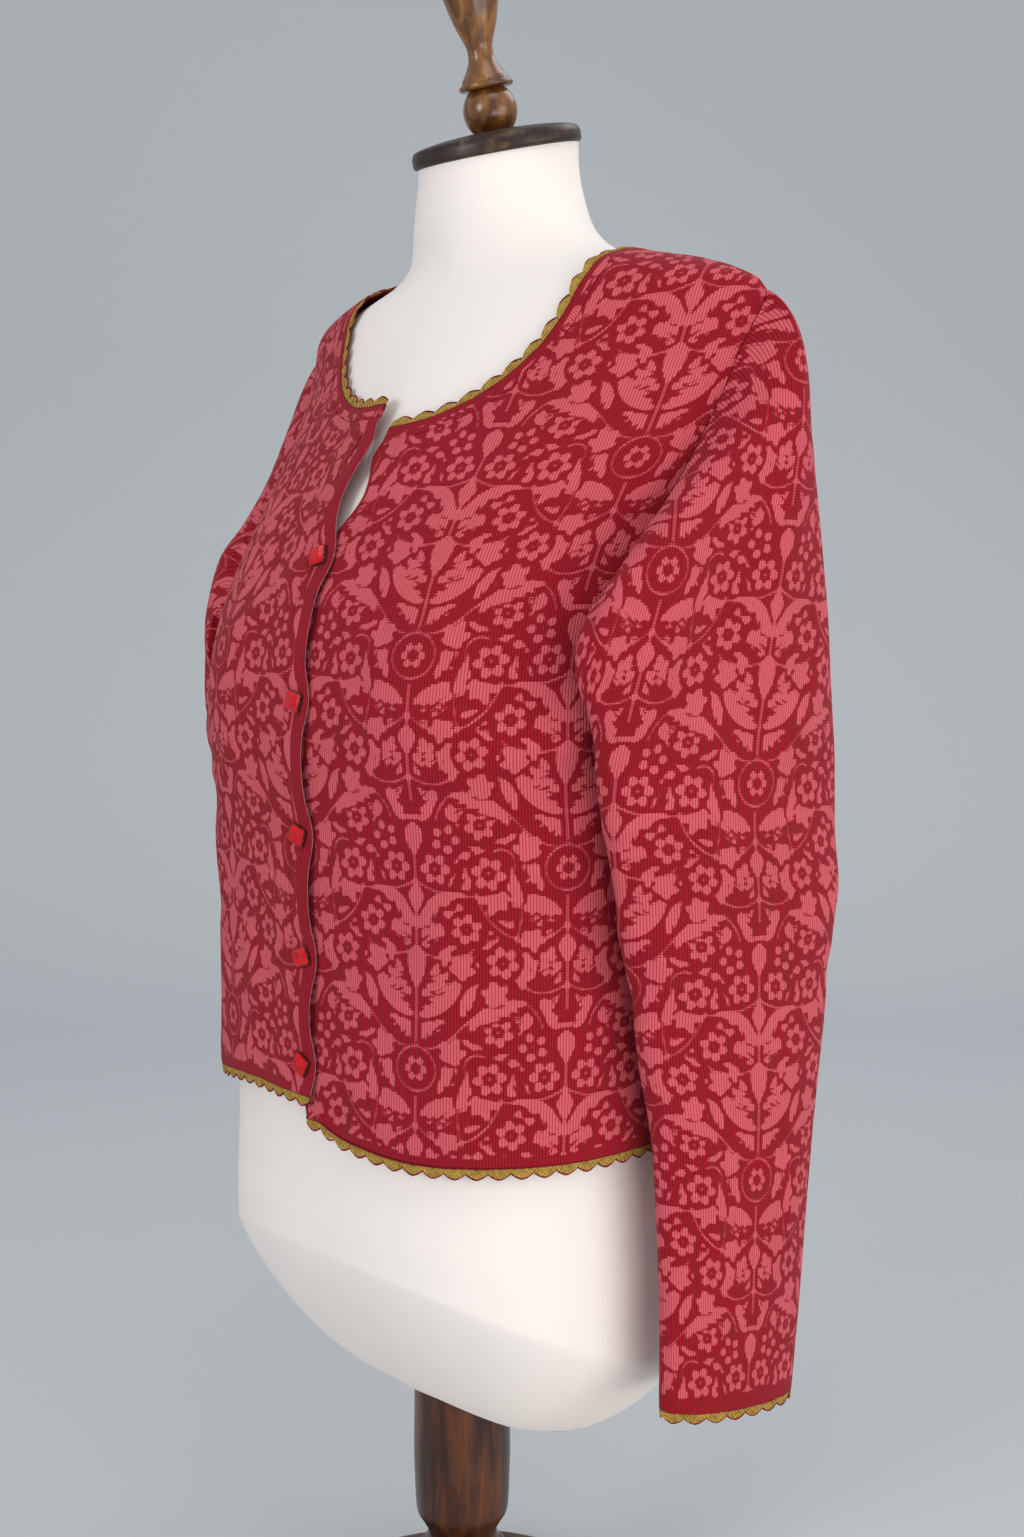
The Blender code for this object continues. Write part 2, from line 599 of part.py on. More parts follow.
def sleeve_piece(side, front, back):
    """A tube from the armhole's own edge down to the cuff."""
    sign = 1 if side == "left" else -1
    turn_over = np.array([sign, 1, 1])
    rows = len(ARMHOLE_ROWS)
    back_column = -1 if side == "left" else 0

    # from the tip down the front to the underarm, and up the back again, at each point
    # of the panels' edges and half way along their longer stretches
    parts = []
    for piece, column in ((front, -1), (back, back_column)):
        line, normal = (piece[k][-rows:, column][::-1] * turn_over for k in ("outer", "normal"))
        length = np.linalg.norm(np.diff(line, axis=0), axis=1)
        share = np.concatenate([[0], np.cumsum(length)]) / length.sum()
        stations = np.arange(rows)
        stations = np.sort(np.concatenate([stations, stations[:-1][length > 0.020] + 0.5]))
        angle = pi * np.interp(stations, np.arange(rows), share)
        parts.append([along_polyline(line, stations), along_polyline(normal, stations), angle])
    (front_line, front_normal, front_angle), (back_line, back_normal, back_angle) = parts
    start = np.concatenate([front_line[:-1], back_line[:0:-1]])
    normal = unit(np.concatenate([front_normal[:-1], back_normal[:0:-1]]))
    around = np.concatenate([front_angle[:-1], 2 * pi - back_angle[:0:-1]])
    under = len(front_line) - 1
    start[under] = (front_line[-1] + back_line[-1]) / 2
    top_of_lower = SLEEVE[0][0]
    end = sleeve_ring(top_of_lower, around, SLEEVE_SET_BACK[side])
    down = 0.5 - 0.5 * np.cos(around)          # 0 at the shoulder tip, 1 at the underarm
    forward = np.sin(around)
    fold = SLEEVE_FOLD[side] * np.maximum(forward, 0) * down
    spread = np.where(forward > 0, 0.35, 0.75) + 1.6 * fold
    away = unit(np.stack([1.0 - 0.45 * down, -spread * forward, -0.42 - 0.50 * down], -1))
    clear = (1 + 3 * down)[:, None]
    start = start + (away + clear * normal + unit(start.mean(axis=0) - start)) * SEAM
    drop = np.linalg.norm(end - start, axis=1)
    first = start + away * ((0.22 + 0.08 * down + 0.35 * fold) * drop)[:, None]
    last = end + np.array([0, 0, 1]) * (0.42 * drop)[:, None]
    rings = []
    for s in np.linspace(0, 1, SLEEVE_UPPER_RINGS + 1) ** 1.15:
        rings.append((1 - s) ** 3 * start + 3 * s * (1 - s) ** 2 * first
                     + 3 * s * s * (1 - s) * last + s ** 3 * end)
    for height in np.linspace(top_of_lower, SLEEVE[-1][0], SLEEVE_LOWER_RINGS + 1)[1:]:
        rings.append(sleeve_ring(height, around, SLEEVE_SET_BACK[side]))
    outer = np.array(rings)
    along = np.gradient(outer, axis=0)
    across = np.roll(outer, -1, axis=1) - np.roll(outer, 1, axis=1)
    face = unit(np.cross(across, along))
    centre = outer.mean(axis=1, keepdims=True)
    face *= np.sign(np.sum(face * (outer - centre), axis=-1, keepdims=True))
    inner = outer - face * CLOTH
    outer, inner, face = outer * turn_over, inner * turn_over, face * turn_over
    add_wall("sleeve_" + side, outer, inner, WOOL, around=True)
    scallop_strip("cuff_trim_" + side, outer[-1], unit(outer[-1] - outer[-2]), face[-1],
                  CUFF_SCALLOPS, around=True)


# ---- buttons ------------------------------------------------------------------------
def button(number, height):
    """A square faceted tile that lies on the overlapping band."""
    w = np.array(-over_edge(height) + BUTTON_INSET)
    h = np.array(height)
    point, _, normal = sheet_points(FRONT, -1, w, h, over_lift(w, h))
    normal = Vector(normal)
    across = Vector((1, 0, 0)).cross(normal).normalized()
    right = normal.cross(across).normalized()
    turn = (Matrix((right, across, normal)).transposed()
            @ Matrix.Rotation(radians(BUTTON_TURNS[number - 1]), 3, "Z"))
    half, crown = BUTTON_SIDE / 2, BUTTON_SIDE * 0.30
    levels = ((half * 0.92, 0.0), (half, 0.0010), (half, BUTTON_THICK * 0.62), (crown, BUTTON_THICK))
    vertices, faces = [], []
    for reach, level in levels:
        for sx, sy in ((-1, -1), (1, -1), (1, 1), (-1, 1)):
            vertices.append(turn @ Vector((sx * reach, sy * reach, level)))
    for k in range(len(levels) - 1):
        for c in range(4):
            d = (c + 1) % 4
            faces.append((4 * k + c, 4 * k + d, 4 * k + 4 + d, 4 * k + 4 + c))
    faces += [(3, 2, 1, 0), tuple(range(4 * len(levels) - 4, 4 * len(levels)))]
    rest = Vector(point) + normal * 3 * SEAM
    thing = add_mesh("button_%d" % number, [rest + v for v in vertices], faces, RED_GLAZE, smooth=False)
    face_outwards(thing)


# ---- the dress form and its stand ---------------------------------------------------
def form_ring(height, share=0.0, shrink=0.0):
    """A level ring of the form; share bends it to the bottom's slope."""
    turn = np.arange(FORM_SEGMENTS) * 2 * pi / FORM_SEGMENTS
    power = SECTION["power"](height)
    s, c = np.sin(turn), np.cos(turn)
    x = SECTION["half_width"](height) * np.sign(s) * np.abs(s) ** (2 / power)
    centre = SECTION["centre_y"](height)
    edge = np.where(c > 0, SECTION["front_y"](height), SECTION["back_y"](height))
    y = centre + (edge - centre) * np.abs(c) ** (2 / power)
    point, normal = place(x, y, np.full(FORM_SEGMENTS, height), -FORM_INSET(height))
    point = point - unit(normal * np.array([1, 1, 0])) * shrink
    point[:, 2] += share * (FORM_BOTTOM_SLOPE * point[:, 1] + FORM_BOTTOM_BOWL * point[:, 1] ** 2)
    return point


def stacked_rings(name, rings, kind):
    """A closed solid through rings of equal count, listed from bottom to top."""
    rings = np.array(rings)
    levels, count = rings.shape[:2]
    faces = [tuple(reversed(range(count)))]
    for k in range(levels - 1):
        for c in range(count):
            d = (c + 1) % count
            faces.append((k * count + c, k * count + d, (k + 1) * count + d, (k + 1) * count + c))
    faces.append(tuple((levels - 1) * count + c for c in range(count)))
    thing = add_mesh(name, rings.reshape(-1, 3), faces, kind)
    face_outwards(thing)
    return thing


def form_torso():
    deep, wide = FORM_RIM["deep"], FORM_RIM["wide"]
    seat = form_ring(FORM_BOTTOM)
    seat[:, :2] *= FORM_SEAT / np.linalg.norm(seat[:, :2], axis=1, keepdims=True)
    seat[:, 2] = HEM_HEIGHT + FORM_BOTTOM + FORM_BOTTOM_SLOPE * seat[:, 1]
    rings = [seat]
    for turn in np.radians((88, 66, 45, 22)):
        rise, run = (1 - f(turn) ** (2 / FORM_RIM["power"]) for f in (sin, cos))
        rings.append(form_ring(FORM_BOTTOM + deep * rise, 1.0, wide * run))
    for height, share in ((FORM_BOTTOM + deep, 1.0), (-0.105, 0.70), (-0.070, 0.35)):
        rings.append(form_ring(height, share))
    for height in (-0.030, 0.020, 0.070, 0.120, 0.165, 0.200, 0.230, 0.262, 0.295, 0.330, 0.365,
                   0.400, 0.430, 0.455, 0.473, 0.483, 0.491, 0.498, 0.505, 0.511, 0.517, 0.524,
                   0.532, 0.542):
        rings.append(form_ring(height))
    cap_y, cap_h = CAP_CENTRE
    for height, share in ((0.556, 0.35), (0.569, 0.7), (cap_h - SEAM, 1.0)):
        ring = form_ring(height)
        ring[:, 2] += share * tan(CAP_TILT) * (ring[:, 1] - cap_y)
        rings.append(ring)
    stacked_rings("form_torso", rings, JERSEY)


def turned(name, profile, kind, turn=Matrix.Identity(4), segments=TURNED_SEGMENTS, top_slope=0.0):
    """A lathe-turned solid from (radius, height) pairs, listed from bottom to top."""
    around = np.arange(segments) * 2 * pi / segments
    rings = []
    for radius, height in profile:
        ring = np.stack([radius * np.cos(around), radius * np.sin(around),
                         np.full(segments, float(height))], -1)
        rings.append(ring)
    rings[-1][:, 2] += top_slope * rings[-1][:, 1]
    rings = [np.array([turn @ Vector(p) for p in ring]) for ring in rings]
    return stacked_rings(name, rings, kind)


def arc(radius_at, height_at, radius, start, end, count):
    """Profile points on a circle: a bead where it bulges out, a cove where it runs in."""
    return [(radius_at + radius * cos(radians(a)), height_at + radius * sin(radians(a)))
            for a in np.linspace(start, end, count)]


def stand():
    bottom = HEM_HEIGHT + FORM_BOTTOM
    r = COLUMN_RADIUS
    foot = 0.040
    base_profile = ([(BASE_RADIUS - 0.006, 0.0), (BASE_RADIUS, 0.005)]
                    + arc(BASE_RADIUS - 0.009, 0.0125, 0.009, 0, 80, 4)
                    + [(BASE_RADIUS - 0.022, BASE_THICK - 0.002), (0.050, BASE_THICK)])
    turned("base", base_profile, DARK_WOOD, segments=40)
    column = ([(foot, BASE_THICK + SEAM), (foot, BASE_THICK + 0.008)]
              + arc(foot + 0.004, BASE_THICK + 0.030, 0.020, 250, 180, 4)
              + arc(r - 0.010, BASE_THICK + 0.052, 0.011, -70, 70, 5)
              + arc(r + 0.002, BASE_THICK + 0.0715, 0.0105, 215, 145, 3)
              + [(r - 0.0045, BASE_THICK + 0.0815), (r - 0.0010, BASE_THICK + 0.0880),
                 (r, BASE_THICK + 0.104), (r + 0.0006, bottom - 0.040), (r, bottom - SEAM)])
    turned("column", column, DARK_WOOD, top_slope=FORM_BOTTOM_SLOPE)


def neck_top():
    cap_y, cap_h = CAP_CENTRE
    seat = Matrix.Translation((0, cap_y, HEM_HEIGHT + cap_h)) @ Matrix.Rotation(CAP_TILT, 4, "X")
    rim = 0.0080
    dome = [(CAP_RADIUS * cos(a), rim + 0.0065 * sin(a)) for a in np.radians((20, 45, 68, 82))]
    turned("neck_cap", [(CAP_RADIUS - 0.0012, 0.0), (CAP_RADIUS, 0.0016), (CAP_RADIUS, rim - 0.002)]
           + dome, DARK_WOOD, seat, 32)
    foot = rim + 0.0065 * sin(radians(82)) + SEAM
    ball, ball_at = 0.0168, 0.0264
    start = asin((foot - ball_at) / ball) * 180 / pi
    finial = (arc(0, ball_at, ball, start, 55, 7)
              + [(0.0148, 0.0392), (0.0168, 0.0412), (0.0160, 0.0432), (0.0112, 0.0500),
                 (0.0080, 0.0575), (0.0078, 0.0620), (0.0100, 0.0690), (0.0130, 0.0770),
                 (0.0160, 0.0880), (0.0180, 0.0980), (0.0188, 0.1070), (0.0172, 0.1160),
                 (0.0120, 0.1222), (0.0050, 0.1245)])
    turned("finial", finial, LIGHT_WOOD, seat)


# ---- assembly -----------------------------------------------------------------------
def hem_trim(fronts, bands, back):
    """The crochet edge under the hem, from the right front's edge round to the left's."""
    def edge(piece, order):
        outer, inner = piece["outer"][:, ::order], piece["inner"][:, ::order]
        return outer[0], outer[0] - outer[1], outer[0] - inner[0]
    parts = [edge(bands["right"], 1), edge(fronts["right"], 1), edge(back, 1),
             edge(fronts["left"], -1), edge(bands["left"], -1)]
    base, way, normal = (np.concatenate([part[k] for part in parts]) for k in range(3))
    scallop_strip("hem_trim", base, unit(way), unit(normal), HEM_SCALLOPS)


def build():
    fronts = {side: front_piece(side) for side in ("right", "left")}
    back = back_piece()
    bands = {side: front_band(side, fronts[side]) for side in ("right", "left")}
    neckband_piece(fronts, bands, back)
    hem_trim(fronts, bands, back)
    for side in ("left", "right"):
        sleeve_piece(side, fronts[side], back)
    for number, height in enumerate(BUTTON_HEIGHTS, 1):
        button(number, height)
    form_torso()
    neck_top()
    stand()


build()
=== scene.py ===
import math

import bmesh
import bpy
import numpy as np
from mathutils import Matrix, Vector


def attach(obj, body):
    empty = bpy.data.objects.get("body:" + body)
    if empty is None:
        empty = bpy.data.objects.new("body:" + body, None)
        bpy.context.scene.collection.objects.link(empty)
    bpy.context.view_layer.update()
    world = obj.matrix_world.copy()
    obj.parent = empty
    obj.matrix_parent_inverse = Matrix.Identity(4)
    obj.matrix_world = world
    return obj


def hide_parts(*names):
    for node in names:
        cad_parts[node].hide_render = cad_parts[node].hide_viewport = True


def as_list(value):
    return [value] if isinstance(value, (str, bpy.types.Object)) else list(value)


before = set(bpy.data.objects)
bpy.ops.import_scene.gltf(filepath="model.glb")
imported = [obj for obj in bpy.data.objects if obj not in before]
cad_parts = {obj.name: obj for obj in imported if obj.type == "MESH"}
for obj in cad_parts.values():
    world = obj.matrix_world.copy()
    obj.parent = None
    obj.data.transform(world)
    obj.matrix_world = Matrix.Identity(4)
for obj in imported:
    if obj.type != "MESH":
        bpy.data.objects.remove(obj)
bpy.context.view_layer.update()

print("frame loaded:", len(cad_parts), "solids")


# shader and geometry nodes, written as expressions
class Wire:
    # one output socket of a node tree, with Python's arithmetic on it
    def __init__(self, tree, socket=None):
        self.tree, self.socket = tree, socket

    def make(self, kind, settings=None, inputs=None, out=0):
        node = self.tree.nodes.new(kind)
        for name, value in (settings or {}).items():
            if name == "stops":
                while len(node.color_ramp.elements) < len(value):
                    node.color_ramp.elements.new(0.5)
                for stop, (place_, colour) in zip(node.color_ramp.elements, value):
                    stop.position, stop.color = place_, (*colour, 1)
            else:
                setattr(node, name, value)
        for name, value in (inputs or {}).items():
            socket = node.inputs[name]
            if isinstance(value, Wire):
                self.tree.links.new(value.socket, socket)
            else:
                socket.default_value = value
        made = Wire(self.tree, node.outputs[out] if len(node.outputs) else None)
        made.node = node
        return made

    def out(self, name):
        return Wire(self.tree, self.node.outputs[name])

    def maths(self, operation, *values):
        return self.make("ShaderNodeMath", {"operation": operation}, dict(enumerate(values)))

    def __add__(self, other): return self.maths("ADD", self, other)
    def __radd__(self, other): return self.maths("ADD", other, self)
    def __sub__(self, other): return self.maths("SUBTRACT", self, other)
    def __rsub__(self, other): return self.maths("SUBTRACT", other, self)
    def __mul__(self, other): return self.maths("MULTIPLY", self, other)
    def __rmul__(self, other): return self.maths("MULTIPLY", other, self)

    def between(self, low, high):
        # 0 below low, 1 above high, smooth in between
        return self.make("ShaderNodeMapRange", {"interpolation_type": "SMOOTHSTEP"},
                         {"Value": self, "From Min": low, "From Max": high})

    def mix(self, other, share, blend="MIX"):
        # colours: self where share is 0, other where it is 1
        return self.make("ShaderNodeMix", {"data_type": "RGBA", "blend_type": blend},
                         {0: share, 6: self, 7: other}, out=2)

    def shaded(self, shade):
        grey = self.make("ShaderNodeCombineXYZ", inputs={0: shade, 1: shade, 2: shade})
        return self.mix(grey, 1.0, "MULTIPLY")

    def blend(self, share, start, end):
        # two plain colours: start where share is 0, end where it is 1
        return self.make("ShaderNodeMix", {"data_type": "RGBA"},
                         {0: share, 6: (*start, 1), 7: (*end, 1)}, out=2)

    def noise(self, where, scale, detail, **more):
        return self.make("ShaderNodeTexNoise",
                         inputs={"Vector": where, "Scale": scale, "Detail": detail, **more})

    def wave(self, where, way, scale, distortion, detail, **more):
        inputs = {"Vector": where, "Scale": scale, "Distortion": distortion, "Detail": detail}
        return self.make("ShaderNodeTexWave", {"bands_direction": way}, {**inputs, **more}, out=1)


def newMaterial(name, **fixed):
    # a Principled material; fixed values go straight on the shader's sockets
    material = bpy.data.materials.new(name)
    material.use_nodes = True
    tree = material.node_tree
    shader = tree.nodes["Principled BSDF"]
    for socket, value in fixed.items():
        shader.inputs[socket.replace("_", " ")].default_value = value
    return material, Wire(tree), shader


def feed(wire, shader, socket):
    wire.tree.links.new(wire.socket, shader.inputs[socket])


def feedBump(height, shader, strength, distance):
    feed(height.make("ShaderNodeBump", inputs={"Strength": strength, "Distance": distance,
                                               "Height": height}), shader, "Normal")


def colour(hexCode):
    # a colour as it shows on a screen, turned into the shader's linear numbers
    parts = [int(hexCode[i:i + 2], 16) / 255 for i in (0, 2, 4)]
    return tuple(p / 12.92 if p <= 0.04045 else ((p + 0.055) / 1.055) ** 2.4 for p in parts)


# curves and tables
def smoothTable(keys, values):
    keys, values = np.asarray(keys, float), np.asarray(values, float)
    step = np.diff(keys)
    slope = np.diff(values) / step
    ahead, behind = slope[1:], slope[:-1]
    inner = np.where(ahead * behind > 0, 2 * ahead * behind / (ahead + behind + 1e-30), 0)
    tangent = np.concatenate([slope[:1], inner, slope[-1:]])

    def curve(x):
        x = np.clip(np.asarray(x, float), keys[0], keys[-1])
        i = np.clip(np.searchsorted(keys, x, side="right") - 1, 0, len(step) - 1)
        s, h = (x - keys[i]) / step[i], step[i]
        return ((1 + 2 * s) * (1 - s) ** 2 * values[i] + s * (1 - s) ** 2 * h * tangent[i]
                + s * s * (3 - 2 * s) * values[i + 1] - s * s * (1 - s) * h * tangent[i + 1])

    return curve


def tableCurves(columns, rows):
    data = np.array(rows, float)
    data = data[np.argsort(data[:, 0])]
    return {name: smoothTable(data[:, 0], data[:, i + 1]) for i, name in enumerate(columns[1:])}


def ease(x, start, end):
    s = np.clip((np.asarray(x, float) - start) / (end - start), 0, 1)
    return s * s * (3 - 2 * s)


def hump(x, middle, width):
    return np.exp(-((np.asarray(x, float) - middle) / width) ** 2)


def alongLine(values, stations):
    index = np.arange(len(values))
    return np.stack([np.interp(stations, index, values[:, k]) for k in range(values.shape[1])], -1)


def lengthAlong(line):
    return np.concatenate([[0], np.cumsum(np.linalg.norm(np.diff(line, axis=0), axis=1))])


def stationsAt(line, shares):
    length = lengthAlong(line)
    return np.interp(np.asarray(shares) * length[-1], length, np.arange(len(line)))


def resample(line, count):
    return alongLine(line, stationsAt(line, np.linspace(0, 1, count)))


def unit(v):
    return v / np.maximum(np.linalg.norm(v, axis=-1, keepdims=True), 1e-12)


def bilinear(table, row, column):
    row = np.clip(row, 0, table.shape[0] - 1.001)
    column = np.clip(column, 0, table.shape[1] - 1.001)
    i, j = row.astype(int), column.astype(int)
    a, b = row - i, column - j
    return ((1 - a) * (1 - b) * table[i, j] + (1 - a) * b * table[i, j + 1]
            + a * (1 - b) * table[i + 1, j] + a * b * table[i + 1, j + 1])


# the body that the cloth is worn on
garment = {
    "hemHeight": 0.400,         # the hem's knitted edge above the floor
    "cloth": 0.0020,
    "seam": 0.0003,
    "underarm": 0.272,          # heights above the hem from here on
    "shoulderTip": 0.482,
    "neckHalfWidth": 0.102,
    "neckFront": {"right": 0.421, "left": 0.410},
    "neckBack": 0.500,
    "neckRoundness": 2.3,
    "neckband": 0.0080,
    "frontBand": 0.0160,
    "buttonHeights": (0.334, 0.253, 0.176, 0.104, 0.040),
    "emptyHole": (0.391, 0.403),
}
sectionColumns = ("height", "halfWidth", "centreY", "frontY", "backY", "power")
sections = (
    (-0.210, 0.1630, 0.0000, -0.1320, 0.1060, 2.50),
    (-0.100, 0.1640, 0.0000, -0.1320, 0.1060, 2.50),
    (-0.040, 0.1630, 0.0000, -0.1305, 0.1040, 2.50),
    (0.000, 0.1625, 0.0000, -0.1290, 0.1020, 2.50),
    (0.060, 0.1610, 0.0000, -0.1270, 0.0985, 2.50),
    (0.120, 0.1615, 0.0000, -0.1260, 0.0975, 2.50),
    (0.180, 0.1640, 0.0000, -0.1275, 0.0995, 2.45),
    (0.230, 0.1665, 0.0000, -0.1300, 0.1020, 2.40),
    (0.270, 0.1685, 0.0000, -0.1275, 0.1040, 2.30),
    (0.310, 0.1705, 0.0020, -0.1195, 0.1060, 2.15),
    (0.350, 0.1730, 0.0090, -0.1040, 0.1075, 1.95),
    (0.390, 0.1770, 0.0210, -0.0835, 0.1085, 1.75),
    (0.430, 0.1820, 0.0350, -0.0605, 0.1075, 1.62),
    (0.460, 0.1860, 0.0430, -0.0435, 0.1045, 1.60),
    (0.478, 0.1885, 0.0460, -0.0345, 0.1015, 1.60),
    (0.487, 0.1835, 0.0450, -0.0305, 0.1000, 1.60),
    (0.495, 0.1690, 0.0425, -0.0270, 0.0975, 1.60),
    (0.503, 0.1450, 0.0400, -0.0240, 0.0950, 1.60),
    (0.511, 0.1100, 0.0380, -0.0210, 0.0920, 1.62),
    (0.518, 0.0890, 0.0365, -0.0190, 0.0900, 1.68),
    (0.528, 0.0740, 0.0360, -0.0175, 0.0885, 1.80),
    (0.540, 0.0640, 0.0360, -0.0165, 0.0875, 1.92),
    (0.556, 0.0560, 0.0355, -0.0160, 0.0870, 2.00),
    (0.575, 0.0515, 0.0350, -0.0160, 0.0860, 2.00),
    (0.610, 0.0515, 0.0340, -0.0170, 0.0850, 2.00),
)
bust = {"x": 0.088, "height": 0.262, "spreadX": 0.046, "spreadZ": 0.062, "swell": 0.0065}
swayRows = ((0.24, 0.0), (0.33, 0.002), (0.40, 0.007), (0.48, 0.009), (0.511, 0.012),
            (0.537, 0.003), (0.56, 0.0))
hemRows = {
    "right": ((0.0, 0.0225), (0.06, 0.0205), (0.13, 0.0100), (0.20, 0.0)),
    "left": ((-0.010, 0.0175), (0.0, 0.0150), (0.015, 0.0070), (0.035, 0.0010), (0.085, -0.0035),
             (0.150, -0.0010), (0.20, 0.0)),
}
armholeColumns = ("share", "forward", "backward")
armholeRows = (
    (0.00, 0.000, 0.000), (0.04, 0.038, 0.022), (0.09, 0.054, 0.031), (0.16, 0.057, 0.038),
    (0.29, 0.038, 0.042), (0.45, 0.024, 0.040), (0.65, 0.014, 0.032), (0.85, 0.008, 0.018),
    (1.00, 0.000, 0.000),
)
section = tableCurves(sectionColumns, sections)
armhole = tableCurves(armholeColumns, armholeRows)
swayShift = tableCurves(("height", "shift"), swayRows)["shift"]
hemRise = {side: tableCurves(("across", "rise"), rows)["rise"] for side, rows in hemRows.items()}
hemRise["back"] = np.zeros_like


def depthAt(x, h, back):
    half, power = section["halfWidth"](h), section["power"](h)
    centre = section["centreY"](h)
    edge = section["backY" if back else "frontY"](h)
    share = np.clip(1 - np.clip(np.abs(x) / half, 0, 1) ** power, 0, 1) ** (1 / power)
    return centre + (edge - centre) * share


def outward(x, y, h):
    def level(height):
        centre = section["centreY"](height)
        reach = np.where(y < centre, centre - section["frontY"](height),
                         section["backY"](height) - centre)
        power = section["power"](height)
        return ((np.abs(x) / section["halfWidth"](height)) ** power
                + (np.abs(y - centre) / reach) ** power), reach, centre, power

    value, reach, centre, power = level(h)
    half = section["halfWidth"](h)
    step = 0.0015
    gx = power / half * (np.abs(x) / half) ** (power - 1) * np.sign(x)
    gy = power / reach * (np.abs(y - centre) / reach) ** (power - 1) * np.sign(y - centre)
    gz = (level(h + step)[0] - level(h - step)[0]) / (2 * step)
    return unit(np.stack([gx, gy, gz], -1))


def place(x, y, h, offset=0.0):
    # a point of the body's surface moved out by offset, and the surface's normal there
    normal = outward(x, y, h)
    swell = ease(y, 0.0, -0.05) * bust["swell"] * hump(np.abs(x), bust["x"], bust["spreadX"]) \
        * hump(h, bust["height"], bust["spreadZ"])
    point = np.stack([x + swayShift(h), y, h + garment["hemHeight"]], -1)
    return point + normal * np.asarray(swell + offset)[..., None], normal


class FlatHalf:
    # the front or back half laid flat: w is the way across, h the height above the hem and up the
    # way along the cloth
    def __init__(self, back):
        self.back = back
        self.low, self.step = -0.06, 0.002
        self.heights = np.arange(self.low, 0.601, self.step)
        turns = np.linspace(0, math.pi / 2, 181)
        h = np.repeat(self.heights[:, None], len(turns), 1)
        x = section["halfWidth"](h) * np.sin(turns) ** (2 / section["power"](h))
        y = depthAt(x, h, back)
        step = np.hypot(np.diff(x, axis=1), np.diff(y, axis=1))
        self.length = np.concatenate([np.zeros((len(h), 1)), np.cumsum(step, axis=1)], axis=1)
        parts = np.linspace(0, 1, len(turns))
        self.turnAt = np.array([np.interp(parts * row[-1], row, turns) for row in self.length])
        # how far up the cloth each height lies, and back again
        self.across, self.upLow, self.upStep = 0.004, -0.05, 0.002
        w = np.arange(0, 0.2401, self.across)
        ww, hh = np.meshgrid(w, self.heights, indexing="ij")
        px, py = self.spot(ww, hh)
        point = place(px, py, hh)[0]
        way = np.linalg.norm(np.diff(point, axis=1), axis=-1)
        self.up = np.concatenate([np.zeros((len(w), 1)), np.cumsum(way, axis=1)], axis=1)
        self.up -= self.up[:, [int(round(-self.low / self.step))]]
        ups = np.arange(self.upLow, 0.75, self.upStep)
        self.down = np.array([np.interp(ups, row, self.heights) for row in self.up])

    def full(self, h):
        return np.interp(h, self.heights, self.length[:, -1])

    def widthOf(self, x, h):
        share = np.clip(np.abs(x) / section["halfWidth"](h), 0, 1) ** (section["power"](h) / 2)
        turn = np.arcsin(share) / (math.pi / 360)
        return np.sign(x) * bilinear(self.length, (h - self.low) / self.step, turn)

    def spot(self, w, h):
        part = np.clip(np.abs(w) / self.full(h), 0, 1) * 180
        turn = bilinear(self.turnAt, (h - self.low) / self.step, part)
        x = np.sign(w) * section["halfWidth"](h) * np.sin(turn) ** (2 / section["power"](h))
        return x, depthAt(x, h, self.back)

    def upOf(self, w, h):
        return bilinear(self.up, np.abs(w) / self.across, (h - self.low) / self.step)

    def heightOf(self, w, up):
        return bilinear(self.down, np.abs(w) / self.across, (up - self.upLow) / self.upStep)


front, back = FlatHalf(False), FlatHalf(True)
halfOf = {"left": front, "right": front, "back": back}


def ridgeHeight(x):
    heights = np.linspace(0.478, 0.575, 200)
    return np.interp(-np.asarray(x, float), -section["halfWidth"](heights), heights)


def neckLine(side, inset, turn):
    low = garment["neckFront"].get(side, garment["neckBack"]) - inset
    sideX = garment["neckHalfWidth"] + inset
    sideH = ridgeHeight(sideX)
    power = 2 / garment["neckRoundness"]
    return sideX * np.sin(turn) ** power, sideH - (sideH - low) * np.cos(turn) ** power


def neckFlat(half, side, inset, start):
    x, h = neckLine(side, inset, np.linspace(0, math.pi / 2, 240))
    line = np.stack([half.widthOf(x, h), h], -1)
    corner = [start, np.interp(start, line[:, 0], line[:, 1])]
    return np.concatenate([[corner], line[line[:, 0] > start + 1e-5]])


def armholeLine(half, share):
    h = garment["underarm"] + (garment["shoulderTip"] - garment["underarm"]) * share
    return np.stack([half.full(h) - armhole["backward" if half.back else "forward"](share), h], -1)


# the closure down the front
opening = {
    "over": 0.0085, "under": 0.0090,        # how far each front reaches past the middle
    "pull": (0.0035, 0.016),                # a button draws the upper edge on: depth, spread
    "overLens": (0.0060, 0.368, 0.024),     # the slim gap at the neck: depth, height, spread
    "overNeck": (0.0050, 0.398, 0.412),     # set back by a depth, from a height to another
    "underLens": (0.0220, 0.325, 0.372),
    "underHem": (0.0110, 0.050, 0.0),
    "underNeck": (0.0070, 0.394, 0.013),
    "lap": (0.0009, 0.045, 0.016),          # the upper front's rise over the lower one
    "puff": (0.0028, 0.030, -0.008), "puffSpread": 0.018,
    "lift": (0.0015, 0.385, 0.026), "liftAcross": (0.018, -0.006),
}


def dip(kind, h):
    depth, start, end = opening[kind]
    return depth * ease(h, start, end)


def bulge(kind, h):
    depth, middle, spread = opening[kind]
    return depth * hump(h, middle, spread)


def overEdge(h, pulled=True):
    depth, spread = opening["pull"]
    pull = pulled * sum(hump(h, b, spread) for b in garment["buttonHeights"])
    return opening["over"] + depth * pull - bulge("overLens", h) - dip("overNeck", h)


def underEdge(h, pulled=True):
    return (opening["under"] - dip("underLens", h) - dip("underHem", h)
            + bulge("underNeck", h))


reachOf = {"left": underEdge, "right": overEdge}


